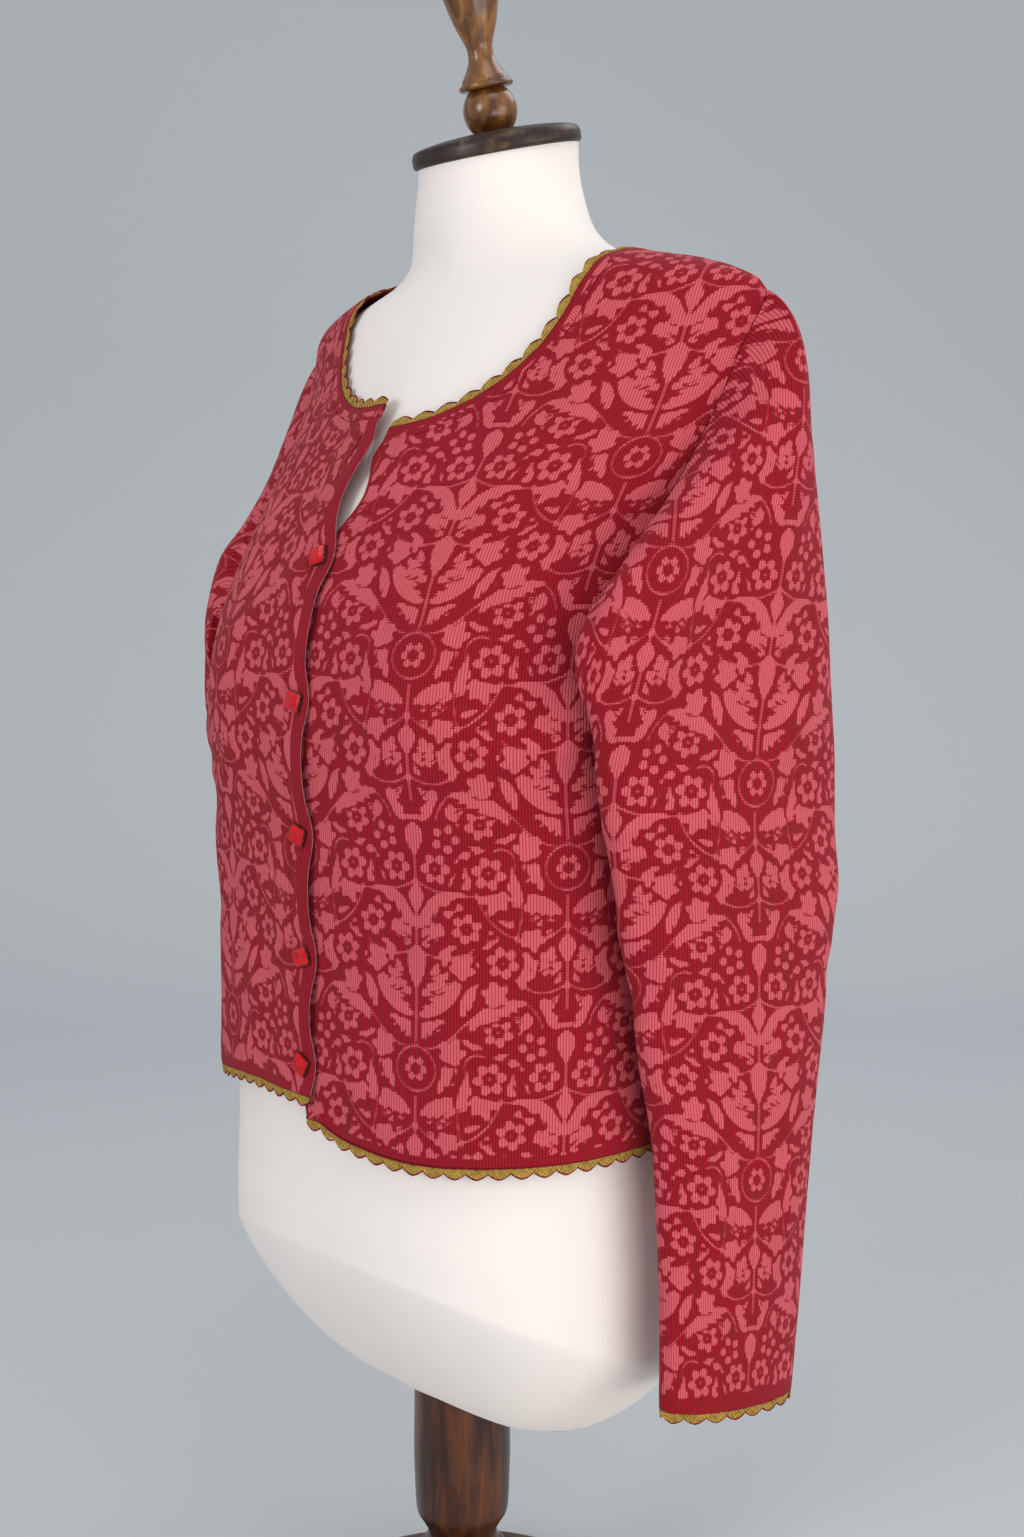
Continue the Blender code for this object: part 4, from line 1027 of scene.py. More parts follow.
sleeveRows = (
    (0.190, 0.1965, 0.0150, 0.0250, 0.0815, 12), (0.130, 0.1945, 0.0255, 0.0240, 0.0760, 13),
    (0.060, 0.1945, 0.0290, 0.0230, 0.0655, 14), (0.000, 0.1945, 0.0320, 0.0210, 0.0570, 14),
    (-0.080, 0.1945, 0.0315, 0.0190, 0.0520, 13), (-0.155, 0.1935, 0.0295, 0.0175, 0.0490, 12),
)
sleeveCurve = tableCurves(sleeveColumns, sleeveRows)


class SleeveCloth:
    # a place is (a, t): a is the angle from the outer side to the front, and t goes from 0 at the
    # armhole to 2 at the cuff
    def __init__(self, side):
        self.side, self.mirror = side, np.array([1 if side == "left" else -1, 1, 1])
        self.lines = []
        for half, panel, sign in ((front, side, 1), (back, "back", self.mirror[0])):
            shares = np.linspace(0, 1, sleeve["armhole"])
            arm = armholeLine(half, shares[::-1]) - (garment["seam"] / 2, 0)
            line, normal = (k * self.mirror for k in panelPoint(panel, sign * arm[:, 0], arm[:, 1]))
            at = stationsAt(line, shares)
            self.lines.append((alongLine(line, at), alongLine(normal, at)))
        middle = (self.lines[0][0][-1] + self.lines[1][0][-1]) / 2
        for line, _ in self.lines:
            line[-8:] += (middle - line[-1]) * (np.arange(1, 9) / 8)[:, None]
        self.centre = np.concatenate([line for line, _ in self.lines]).mean(0)
        self.makeTables()

    def ring(self, height, a):
        c = {name: curve(height) for name, curve in sleeveCurve.items()}
        turn = np.radians(c["turn"])
        thick, wide = c["halfThick"] * np.cos(a), -c["halfWide"] * np.sin(a)
        x = c["centreX"] + thick * np.cos(turn) + wide * np.sin(turn)
        y = c["centreY"] - thick * np.sin(turn) + wide * np.cos(turn)
        droop = sleeve["cuffTilt"] * ease(height, 0.0, sleeveRows[-1][0]) * (y - c["centreY"])
        return np.stack([x, y + sleeve["setBack"][self.side],
                         height + garment["hemHeight"] - droop], -1)

    def base(self, a, t):
        a = (np.asarray(a) + math.pi) % (2 * math.pi) - math.pi
        station = np.abs(a) / math.pi * (sleeve["armhole"] - 1)
        before = (a >= 0)[..., None]
        start, normal = (np.where(before, alongLine(self.lines[0][k], station),
                                  alongLine(self.lines[1][k], station)) for k in (0, 1))
        top = sleeveRows[0][0]
        end = self.ring(top + 0 * a, a)
        down, ahead = 0.5 - 0.5 * np.cos(a), np.sin(a)
        fold = sleeve["fold"][self.side] * np.maximum(ahead, 0) * down
        spread = np.where(ahead > 0, *sleeve["spread"]) + 1.6 * fold
        away = unit(np.stack([1 - 0.45 * down, -spread * ahead, -0.42 - 0.50 * down], -1))
        clear = (1 + 3 * down)[..., None]
        start = start + (away + clear * unit(normal) + unit(self.centre - start)) * garment["seam"]
        drop = np.linalg.norm(end - start, axis=-1)
        first = start + away * ((sleeve["headPull"] + 0.08 * down + 0.35 * fold) * drop)[..., None]
        last = end + np.array([0, 0, 1]) * (sleeve["ringPull"] * drop)[..., None]
        s = np.clip(t, 0, 1)[..., None]
        upper = ((1 - s) ** 3 * start + 3 * s * (1 - s) ** 2 * first
                 + 3 * s * s * (1 - s) * last + s ** 3 * end)
        lower = self.ring(top + (sleeveRows[-1][0] - top) * np.clip(t - 1, 0, 1), a)
        return np.where((t < 1)[..., None], upper, lower)

    def makeTables(self):
        down, around = sleeve["down"], sleeve["around"]
        self.angles = np.linspace(-math.pi, math.pi, around + 1)
        self.ts = np.linspace(0, 2, down + 1)
        tt, aa = np.meshgrid(self.ts, self.angles, indexing="ij")
        point = self.base(np.clip(aa, -math.pi + 1e-6, math.pi - 1e-6), tt)
        step = np.linalg.norm(np.diff(point, axis=0), axis=-1)
        self.up = np.concatenate([np.cumsum(step[::-1], axis=0)[::-1], np.zeros((1, around + 1))])
        way = np.linalg.norm(np.diff(point, axis=1), axis=-1)
        rise = np.diff(self.up, axis=1)
        width = np.sqrt(np.maximum(way ** 2 - rise ** 2, 0))
        width = np.maximum(width, 0.8 * width[down // 2])
        self.across = np.concatenate([np.zeros((down + 1, 1)), np.cumsum(width, axis=1)], axis=1)
        self.across -= self.across[:, [around // 2]]
        reach = np.abs(self.across).max()
        self.us = np.arange(-math.ceil(reach / knit["wale"]) - 12,
                            math.ceil(reach / knit["wale"]) + 13) * knit["wale"]
        self.vs = np.arange(-12, math.ceil(self.up.max() / knit["course"]) + 13) * knit["course"]
        self.inverse = np.zeros((len(self.vs), len(self.us), 2))
        for j, v in enumerate(self.vs):
            t = np.array([np.interp(-v, -self.up[:, k], self.ts) for k in range(around + 1)])
            u = bilinear(self.across, t * down / 2, np.arange(around + 1.0))
            a = np.interp(self.us, np.maximum.accumulate(u), self.angles)
            self.inverse[j, :, 0], self.inverse[j, :, 1] = a, np.interp(a, self.angles, t)

    def spread(self, p):
        row = p[..., 1] * (sleeve["down"] / 2)
        column = (p[..., 0] + math.pi) / math.pi * (sleeve["around"] / 2)
        return bilinear(self.across, row, column), bilinear(self.up, row, column)

    def flat(self, p):
        return np.stack(self.spread(p), -1)

    def unflat(self, f):
        row = (f[..., 1] - self.vs[0]) / knit["course"]
        column = (f[..., 0] - self.us[0]) / knit["wale"]
        return np.stack([bilinear(self.inverse[..., k], row, column) for k in (0, 1)], -1)

    def point(self, p):
        a, t = p[..., 0], p[..., 1]
        d = 0.004
        spot = self.base(a, t)
        along = self.base(a, np.clip(t + d, 0, 2)) - self.base(a, np.clip(t - d, 0, 2))
        normal = unit(np.cross(self.base(a + d, t) - self.base(a - d, t), along))
        normal = normal * np.sign((normal * (spot - spot.mean(0))).sum(-1).mean())
        u, v = self.spread(p)
        lift = (foldLift(sleeve["folds"], u, v, sleeve["bend"]) * ease(t, 0.0, 0.35)
                * ease(np.abs(a), 3.1, 2.6))
        return (spot + normal * lift[..., None]) * self.mirror, normal * self.mirror


def sleeveOutline():
    a = np.linspace(-math.pi + sleeve["slit"], math.pi - sleeve["slit"], 240)
    t = np.linspace(2, 0, 160)
    parts = [np.stack([a, 0 * a + 2], -1)[:-1], np.stack([0 * t + a[-1], t], -1)[:-1],
             np.stack([a[::-1], 0 * a], -1)[:-1], np.stack([0 * t + a[0], t[::-1]], -1)[:-1]]
    return np.concatenate(parts), list(np.cumsum([0] + [len(p) for p in parts])[:-1])


# cloth laid out stitch by stitch and cut to its outline
def stitchGrid(cloth, outline, corners, cell):
    # quads of one stitch (or of a block of them) whose middle lies inside the outline
    flat = cloth.flat(outline)
    low = np.floor(flat.min(0) / cell).astype(int)
    high = np.ceil(flat.max(0) / cell).astype(int)
    us, vs = (np.arange(low[k], high[k] + 1) * cell[k] for k in (0, 1))
    inside = insideOf(flat, us[:-1] + cell[0] / 2, vs[:-1] + cell[1] / 2)
    kept = np.zeros((len(vs), len(us)), int)
    for dj in (0, 1):
        for di in (0, 1):
            kept[dj:dj + len(vs) - 1, di:di + len(us) - 1] += inside
    rows, columns = np.nonzero(kept)
    number = np.full(kept.shape, -1)
    number[rows, columns] = np.arange(len(rows))
    flatPlace = np.stack([us[columns], vs[rows]], -1)
    rim = kept[rows, columns] < 4
    station = np.full(len(rows), -1.0)
    station[rim] = stationOn(flat, flatPlace[rim])
    onRim = np.nonzero(rim)[0]
    for corner in corners:
        nearest = onRim[np.linalg.norm(flatPlace[onRim] - flat[corner], axis=1).argmin()]
        station[nearest] = corner
    closed, closedFlat = (np.concatenate([line, line[:1]]) for line in (outline, flat))
    spots = cloth.unflat(flatPlace)
    spots[rim] = alongLine(closed, station[rim])
    flatPlace[rim] = alongLine(closedFlat, station[rim])
    j, i = np.nonzero(inside)
    faces = np.stack([number[j, i], number[j, i + 1], number[j + 1, i + 1], number[j + 1, i]], -1)
    middle = np.stack([us[i] + cell[0] / 2, vs[j] + cell[1] / 2], -1)
    return {"spots": spots, "flat": flatPlace, "faces": faces, "middle": middle,
            "loop": rimLoop(faces, station), "station": station}


def knitSheet(cloth, name, outlineAndCorners, shift, foot):
    # the outer face has a quad for each stitch; the reverse, a few millimetres across, is plainer
    outline, corners = outlineAndCorners
    stitch = np.array([knit["wale"], knit["course"]])
    fine = stitchGrid(cloth, outline, corners, stitch)
    rough = stitchGrid(cloth, outline, corners, stitch * knit["reverse"])
    outer = cloth.point(fine["spots"])[0]
    innerFace, normal = cloth.point(rough["spots"])
    inner = innerFace - normal * garment["cloth"]
    count = len(outer)
    faces = fine["faces"].tolist()
    faces += [face[::-1] for face in (rough["faces"] + count).tolist()]
    faces += zipRims(fine["loop"], fine["station"][fine["loop"]], rough["loop"] + count,
                     rough["station"][rough["loop"]], len(outline))
    thing = meshObject(name, np.concatenate([outer, inner]), faces, jacquard)
    setUv(thing, np.concatenate([fine["flat"], rough["flat"]]) / stitch)
    for label, domain, places, count in (("figure", "POINT", fine["flat"], count + len(inner)),
                                         ("stitchFigure", "FACE", fine["middle"], len(faces))):
        u, v = places.T
        values = np.full(count, 0.5)
        values[:len(u)] = np.where(v < foot(u) + knit["plainEdge"], 0.0, chartAt(u, v + shift))
        setValue(thing, values, label, domain)
    faceOutwards(thing)
    extent = cloth.flat(outline)
    size = extent.max(0) - extent.min(0)
    area = len(fine["faces"]) * stitch[0] * stitch[1]
    print(name, len(faces), "faces, cut", [round(float(s), 3) for s in size], round(float(area), 4))
    return thing, (float(size[0]), float(size[1])), float(area)


# walls: strips of cloth between two grids of points
def gridWall(name, outer, inner, uv, figure, skip=()):
    rows, columns = outer.shape[:2]
    offset = rows * columns
    kept = {(r, c) for r in range(rows - 1) for c in range(columns - 1)} - set(skip)
    faces = []
    for r, c in sorted(kept):
        a, f = r * columns + c, (r + 1) * columns + c
        b, e = a + 1, f + 1
        faces.append((a, b, e, f))
        faces.append((f + offset, e + offset, b + offset, a + offset))
        for beside, p, q in (((r - 1, c), a, b), ((r, c + 1), b, e), ((r + 1, c), e, f),
                             ((r, c - 1), f, a)):
            if beside not in kept:
                faces.append((q, p, p + offset, q + offset))
    used, faces = np.unique(np.array(faces), return_inverse=True)
    points = np.concatenate([outer.reshape(-1, 3), inner.reshape(-1, 3)])[used]
    thing = meshObject(name, points, faces.reshape(-1, 4).tolist(), jacquard)
    setUv(thing, np.concatenate([uv.reshape(-1, 2)] * 2)[used])
    for label in ("figure", "stitchFigure"):
        setValue(thing, np.concatenate([figure.ravel()] * 2)[used], label, "POINT")
    return faceOutwards(thing)


def roundedShare(reach, thickness):
    # half thickness near a rounded edge, as a share of the full one
    part = np.clip(reach / (thickness / 2), 0.02, 1)
    return np.sqrt(1 - (1 - part) ** 2)


# geometry nodes: a cord along a path, and a piece repeated along one
def newTree(name, fields):
    tree = bpy.data.node_groups.new(name, "GeometryNodeTree")
    tree.interface.new_socket("Geometry", in_out="INPUT", socket_type="NodeSocketGeometry")
    for label, kind in fields:
        tree.interface.new_socket(label, in_out="INPUT", socket_type="NodeSocket" + kind)
    tree.interface.new_socket("Geometry", in_out="OUTPUT", socket_type="NodeSocketGeometry")
    w = Wire(tree)
    return tree, w, w.make("NodeGroupInput")


def endTree(w, geometry, given):
    geometry = w.make("GeometryNodeRealizeInstances", inputs={"Geometry": geometry})
    geometry = w.make("GeometryNodeSetMaterial",
                      inputs={"Geometry": geometry, "Material": given.out("Material")})
    w.make("NodeGroupOutput", inputs={"Geometry": geometry})


def makeCordTree():
    tree, w, given = newTree("cordAlongPath", (
        ("Radius", "Float"), ("Sides", "Int"), ("Twist", "Float"), ("Material", "Material")))
    path = w.make("GeometryNodeMeshToCurve", inputs={"Mesh": given.out("Geometry")})
    count = w.make("GeometryNodeInputIndex")
    swell = (count * given.out("Twist")).maths("SINE", count * given.out("Twist")) * 0.12 + 1.0
    path = w.make("GeometryNodeSetCurveRadius", inputs={"Curve": path, "Radius": swell})
    ring = w.make("GeometryNodeCurvePrimitiveCircle",
                  inputs={"Resolution": given.out("Sides"), "Radius": given.out("Radius")})
    tube = w.make("GeometryNodeCurveToMesh",
                  inputs={"Curve": path, "Profile Curve": ring, "Fill Caps": True})
    if "Scale" in tube.node.inputs:     # where the swell isn't taken from the curve's radius
        w.tree.links.new(w.make("GeometryNodeInputRadius").socket, tube.node.inputs["Scale"])
    tube = w.make("GeometryNodeSetShadeSmooth", inputs={"Geometry": tube})
    endTree(w, tube, given)
    return tree


def makeRepeatTree():
    tree, w, given = newTree("repeatAtPoints", (
        ("Piece", "Object"), ("Wobble", "Float"), ("Seed", "Int"), ("Material", "Material")))
    piece = w.make("GeometryNodeObjectInfo", {"transform_space": "ORIGINAL"},
                   {"Object": given.out("Piece")}).out("Geometry")
    turn, size = (w.make("GeometryNodeInputNamedAttribute", {"data_type": "FLOAT_VECTOR"},
                         {"Name": name}) for name in ("turn", "size"))
    turn = w.make("FunctionNodeEulerToRotation", inputs={"Euler": turn})
    many = w.make("GeometryNodeInstanceOnPoints",
                  inputs={"Points": given.out("Geometry"), "Instance": piece, "Rotation": turn,
                          "Scale": size})
    wobble = w.make("FunctionNodeRandomValue", {"data_type": "FLOAT"},
                    {"Min": given.out("Wobble") * -1.0, "Max": given.out("Wobble"),
                     "Seed": given.out("Seed")}, out=1)
    tip = w.make("ShaderNodeCombineXYZ", inputs={0: wobble, 1: wobble * 0.3, 2: wobble * 0.5})
    many = w.make("GeometryNodeRotateInstances", inputs={"Instances": many, "Rotation": tip})
    endTree(w, many, given)
    return tree


def grow(tree, name, mesh, **given):
    # runs a tree on a mesh and keeps what it made as a plain object
    thing = addObject(name, mesh)
    modifier = thing.modifiers.new("grow", "NODES")
    modifier.node_group = tree
    for socket in tree.interface.items_tree:
        if socket.item_type == "SOCKET" and socket.in_out == "INPUT" and socket.name in given:
            modifier[socket.identifier] = given[socket.name]
    graph = bpy.context.evaluated_depsgraph_get()
    made = bpy.data.meshes.new_from_object(thing.evaluated_get(graph))
    thing.modifiers.remove(modifier)
    thing.data = made
    for attribute in ("turn", "size"):
        if attribute in made.attributes:
            made.attributes.remove(made.attributes[attribute])
    bpy.data.meshes.remove(mesh)
    return faceOutwards(thing)


def cord(name, path, radius, material, sides=6, twist=1.1, closed=False):
    # a thread along a path; twist is how fast it swells and thins from point to point
    path = np.asarray(path)
    edges = [(k, k + 1) for k in range(len(path) - 1)] + [(len(path) - 1, 0)] * closed
    mesh = bpy.data.meshes.new("path")
    mesh.from_pydata(path.tolist(), edges, [])
    return grow(cordTree, name, mesh, Radius=radius, Sides=sides, Twist=twist, Material=material)


def pointMesh(spots, turns, sizes):
    mesh = bpy.data.meshes.new("spots")
    mesh.from_pydata(np.asarray(spots).tolist(), [], [])
    for name, values in (("turn", turns), ("size", sizes)):
        attribute = mesh.attributes.new(name, "FLOAT_VECTOR", "POINT")
        attribute.data.foreach_set("vector", np.asarray(values, np.float32).ravel())
    return mesh


def tubePath(points, radius, sides):
    # points and faces of one tube, for the pieces that the trees repeat
    points = np.asarray(points, float)
    ahead = unit(np.concatenate([points[1:2] - points[:1], points[2:] - points[:-2],
                                 points[-1:] - points[-2:-1]]))
    across = unit(np.cross(ahead, (0, 0, 1.0)) + (1e-6, 0, 0))
    up = np.cross(across, ahead)
    turn = np.arange(sides) * 2 * math.pi / sides
    radius = np.broadcast_to(radius, len(points))[:, None, None]
    ring = (points[:, None] + radius * (np.cos(turn)[None, :, None] * across[:, None]
                                        + np.sin(turn)[None, :, None] * up[:, None]))
    return ring.reshape(-1, 3), ringFaces(len(points), sides)


def joinParts(parts):
    points, faces = [], []
    for part, partFaces in parts:
        first = sum(len(p) for p in points)
        points.append(part)
        faces += [tuple(first + k for k in face) for face in partFaces]
    return np.concatenate(points), faces


cordTree, repeatTree = makeCordTree(), makeRepeatTree()

# plain bands
closure = {
    "rowStep": 0.0015,
    "shares": (0, 0.006, 0.02, 0.045, 0.08, 0.14, 0.22, 0.31, 0.40, 0.49, 0.58, 0.65, 0.69, 0.79,
               0.83, 0.88, 0.94, 1),
    "holeColumn": 12,
    "plain": {"left": 0.0035, "right": 0.0088},     # plain knit along the front edges
    "edgeCord": {"left": 0.000189, "right": 0.00027},    # radius of the cord along the free edge
    "edgeCordOut": 0.000162,
    "layFlat": 1.02,        # a band's flat length, as a share of its height
    "neckPlain": 0.55,      # the neckband is plain above this share of its width
    "neckColumns": (("right", 150), ("back", 170), ("left", 150)),
    "neckCourses": 5.3,
}
linking = {
    # radius and depth below the outer face, as shares of the cloth's thickness
    "band": 0.28, "bandSink": 0.42, "edge": 0.38, "edgeSink": 0.40, "seam": 0.36, "seamSink": 0.40,
}
topOfBand = {}


def frontBand(side, name, node):
    # the band, its joint to the panel and the cord along its free edge; and the band's height
    reach, thick = reachOf[side], garment["cloth"]
    inset = garment["neckband"] + garment["seam"] / 2
    low = float(innerEdge(side, garment["neckFront"][side] - inset))
    foot = float(hemRise[side](innerEdge(side, 0.02)))
    top = topOfBand[side] = float(neckFlat(front, side, inset, low)[0, 1])
    rows = np.linspace(foot, top, int((top - foot) / closure["rowStep"]))
    skip = ()
    if side == "right":
        first, last = (np.abs(rows - h).argmin() for h in garment["emptyHole"])
        rows[first], rows[last] = garment["emptyHole"]
        skip = [(r, closure["holeColumn"]) for r in range(first, last)]
    edge = -reach(rows)[:, None]
    seamLine = (garment["frontBand"] - reach(rows, False))[:, None]
    w = edge + (seamLine - edge) * np.array(closure["shares"])
    h = np.repeat(rows[:, None], w.shape[1], 1)
    outer, normal = panelPoint(side, w, h)
    middle = outer - normal * thick / 2
    half = thick / 2 * roundedShare(np.minimum(w - edge, seamLine - w + 0.0006), thick)[..., None]
    uv = np.stack([w / knit["wale"], h / knit["course"]], -1)
    pink = chartAt(w, front.upOf(w, h) + knit["shift"]) * (w - edge > closure["plain"][side])
    band = gridWall(name, middle + normal * half, middle - normal * half, uv, pink, skip)
    way = unit(outer[:, -1] - outer[:, -2])
    joint = cord(name + "Joint", outer[:, -1] + way * garment["seam"] / 2
                 - normal[:, -1] * thick * linking["bandSink"], thick * linking["band"], seamYarn)
    # the pale cord on the upper front's free edge is its edge finish and also a painted highlight
    # on the fold
    fold = cord(name + "Fold", middle[:, 0] + unit(middle[:, 0] - middle[:, 2])
                * closure["edgeCordOut"], closure["edgeCord"][side],
                foldCord if side == "right" else darkThread, twist=1.7)
    return [claim(piece, node) for piece in (band, joint, fold)], top - foot


# the neckband and the crocheted edges
crochet = {
    "neck": 44, "hem": 72, "cuff": 16,      # scallops
    "tip": 0.0064, "valley": 0.0030,
    "roundness": 1.6,
    "pitch": 0.0120,                        # the pitch that the shell is drawn at
    "fill": 0.985,                          # a shell's share of its place
    "thread": 0.00055, "rim": 0.0008,       # the thread's radius, the shell's distance inside it
    "fine": 14,                             # stations on the thread along each scallop
    "web": 0.00038, "chain": 0.00055, "leg": 0.00048,    # half thickness and radii
    "legs": 3, "fan": 25, "reach": 0.0048,  # stitches to each side, degrees apart, and their length
    "seed": 7, "wobble": 0.05,
}


def scallopRise(s):
    # how far the edge stands out at a share s of the way along one scallop
    tip, valley = crochet["tip"], crochet["valley"]
    return valley + (tip - valley) * (1 - np.abs(2 * s - 1) ** crochet["roundness"])


def neckGrid(side, columns, rows=9):
    start = 0.0 if side == "back" else -float(reachOf[side](topOfBand[side]))
    low, top = (resample(neckFlat(halfOf[side], side, inset, start), columns)
                for inset in (garment["neckband"] - garment["seam"], 0.0))
    flat = low + (top - low) * np.linspace(0, 1, rows)[:, None, None]
    if side == "back":
        flat = np.concatenate([(flat * (-1, 1))[:, :0:-1], flat], axis=1)
    return flat


def neckband():
    # one band from three grids; also the line that its scallops start from
    grids = []
    for side, columns in closure["neckColumns"]:
        flat = neckGrid(side, columns)
        w, h = np.moveaxis(flat[:, ::-1] if side == "left" else flat, -1, 0)
        grids.append((*panelPoint(side, w, h), chartAt(w, halfOf[side].upOf(w, h) + knit["shift"])))
    for k in (0, 1):
        for one, end, other in ((0, -1, 0), (2, 0, -1)):
            grids[one][k][:, end] = (grids[one][k][:, end] + grids[1][k][:, other]) / 2
    outer, normal, pink = (np.concatenate([right, middle[:, 1:-1], left], axis=1)
                           for right, middle, left in zip(*grids))
    pink[np.linspace(0, 1, len(pink)) > closure["neckPlain"]] = 0
    normal, way, thick = unit(normal), unit(outer[-1] - outer[0]), garment["cloth"]
    shares = np.linspace(0, 1, len(outer))[:, None]
    near = np.minimum(shares * garment["neckband"] + 0.0005,
                      (1 - shares) * garment["neckband"] + 0.0004)
    half = thick / 2 * roundedShare(near, thick)[..., None]
    middle = outer - normal * thick / 2
    uv = np.stack(np.broadcast_arrays(lengthAlong(outer[0])[None] / knit["wale"],
                                      shares * closure["neckCourses"]), -1)
    band = gridWall("neckBand", middle + normal * half, middle - normal * half, uv, pink)
    joint = outer[0] - way * garment["seam"] / 2 - normal[0] * thick * linking["bandSink"]
    joint = cord("neckBandJoint", joint[::3], thick * linking["band"], seamYarn)
    return ([claim(piece, "neckband") for piece in (band, joint)],
            (outer[-1], way, normal[-1]))


def shellPiece():
    # one crocheted shell: a thin web, seven looped stitches fanned over it, and a chain round them
    p, thick = crochet["pitch"], crochet["web"]
    s = np.linspace(0, 1, 19)
    rim = np.stack([(s - 0.5) * p, scallopRise(s) - crochet["rim"], 0 * s], -1)
    web = np.concatenate([rim - (0, 0.0005, 0), [[p / 2, 0, 0], [-p / 2, 0, 0]]])
    points = np.concatenate([web + (0, 0, thick), web - (0, 0, thick)])
    parts = [(points, ringFaces(2, len(web))), tubePath(rim - (0, 0.0001, 0), crochet["chain"], 7)]
    for k in range(-crochet["legs"], crochet["legs"] + 1):
        a = math.radians(k * crochet["fan"])
        reach = crochet["reach"] - 0.0004 * abs(k)
        along = np.linspace(0.08, 0.88, 5)
        leg = np.stack([k * 0.00045 + along * reach * math.sin(a) * 1.02,
                        0.0004 + along * reach * math.cos(a), 0.00025 + 0 * along], -1)
        for lift in (1, -1):
            parts.append(tubePath(leg * (1, 1, lift), crochet["leg"] - 0.00012 * (along - 0.5) ** 2,
                                  5))
    points, faces = joinParts(parts)
    return meshObject("shell", points, faces, crochetYarn)


def scallopEdge(name, node, base, way, normal, count, closed=False):
    if closed:
        base, way, normal = (np.concatenate([k, k[:1]]) for k in (base, way, normal))
    ends = stationsAt(base, np.linspace(0, 1, count + 1))
    middles = stationsAt(base, (np.arange(count) + 0.5) / count)
    sink = garment["cloth"] / 2
    edges, spots = alongLine(base, ends), alongLine(base, middles)
    out, face = unit(alongLine(way, middles)), unit(alongLine(normal, middles))
    spots = spots + out * garment["seam"] - face * sink
    turns, sizes = [], []
    for k in range(count):
        x = Vector(edges[k + 1] - edges[k])
        length = x.length
        y = Vector(out[k])
        z = x.cross(y).normalized()
        y = z.cross(x).normalized()
        turns.append(tuple(Matrix((x.normalized(), y, z)).transposed().to_euler()))
        sizes.append((length / crochet["pitch"] * crochet["fill"], 1.0, 1.0))
    shell = shellPiece()
    trim = grow(repeatTree, name, pointMesh(spots, turns, sizes), Piece=shell,
                Wobble=crochet["wobble"], Seed=crochet["seed"], Material=crochetYarn)
    bpy.data.objects.remove(shell)
    stations = np.arange(count * crochet["fine"] + 1) / crochet["fine"]
    at = stationsAt(base, stations / count)
    out, face = unit(alongLine(way, at)), unit(alongLine(normal, at))
    line = alongLine(base, at)
    path = line + out * (garment["seam"] + scallopRise(stations % 1.0))[:, None] - face * sink
    joint = line + out * (garment["seam"] / 2) - face * garment["cloth"] * linking["edgeSink"]
    joint = joint[::4]
    if closed:
        path, joint = path[:-1], joint[:-1]
    thread = cord(name + "Thread", path, crochet["thread"], darkThread, 5, 2.1, closed)
    joint = cord(name + "Joint", joint, garment["cloth"] * linking["edge"], seamYarn, closed=closed)
    return [claim(piece, node) for piece in (trim, thread, joint)]


# buttons
button = {
    "side": 0.0115, "thick": 0.0046, "inset": 0.0100,
    "turns": (-16, 12, 20, -22, 27),        # degrees, from the top button down
    "crown": 0.30,                      # half width of the flat top, as a share of the side
    "trayHeight": 0.0016,
}


def squareRings(levels, corner):
    # closed stack of rounded squares: half width and height of each level, from below
    points = []
    turn = np.radians((0, 30, 60, 90))
    for reach, level in levels:
        r = min(corner, reach * 0.5)
        for q in range(4):
            a = turn + q * math.pi / 2
            cx, cy = (sign * (reach - r) for sign in ((1, 1), (-1, 1), (-1, -1), (1, -1))[q])
            points += [(cx + r * math.cos(k), cy + r * math.sin(k), level) for k in a]
    return np.array(points), ringFaces(len(levels), 16)


def makeButton(number, height):
    w, h = np.array(-float(overEdge(height)) + button["inset"]), np.array(height)
    point, normal = panelPoint("right", w, h)
    normal = Vector(normal)
    across = Vector((1, 0, 0)).cross(normal).normalized()
    right = normal.cross(across).normalized()
    turn = (Matrix((right, across, normal)).transposed()
            @ Matrix.Rotation(math.radians(button["turns"][number - 1]), 3, "Z"))
    half, thick, low = button["side"] / 2, button["thick"], button["trayHeight"]
    crown = button["side"] * button["crown"]
    tray = squareRings(((half * 0.90, 0.0), (half * 0.97, 0.0002), (half * 0.995, 0.0008),
                        (half, low - 0.0003), (half * 0.985, low), (half * 0.93, low)), 0.0009)
    tile = squareRings(((half * 0.91, low - 0.0006), (half * 0.925, low + 0.0001),
                        (half * 0.915, low + 0.0005), (half * 0.885, low + 0.0008),
                        (crown * 1.10, thick - 0.00022), (crown * 1.02, thick - 0.00004),
                        (crown * 0.92, thick)), 0.0007)
    rest = Vector(point) + normal * 3 * garment["seam"]
    for label, (points, faces), material in (("Rim", tray, buttonRim), ("Tile", tile, redGlaze)):
        placed = [rest + turn @ Vector(p) for p in points]
        piece = meshObject("button%d%s" % (number, label), placed, faces, material, sharp=24)
        claim(faceOutwards(piece), "button_%d" % number)


# the dress form
form = {
    "bottom": -0.209, "slope": -0.39, "bowl": 0.9,
    "rim": {"deep": 0.072, "wide": 0.076, "power": 1.36},
    "seat": 0.042,
    "capTilt": 14.4, "capCentre": (0.0346, 0.583), "capRadius": 0.0530,
    "segments": 144,
    "neckFoot": 0.542,      # where the rings begin to tilt towards the cap
}
formGapRows = (
    (-0.210, 0.0120), (-0.060, 0.0115), (0.0, 0.0115), (0.060, 0.0135), (0.120, 0.0145),
    (0.180, 0.0080), (0.230, 0.0042), (0.290, 0.0040), (0.340, 0.0042), (0.460, 0.0042),
    (0.485, 0.0044), (0.505, 0.0060), (0.520, 0.0045), (0.545, 0.0020), (0.610, 0.0010),
)
formInset = tableCurves(("height", "inset"), formGapRows)["inset"]


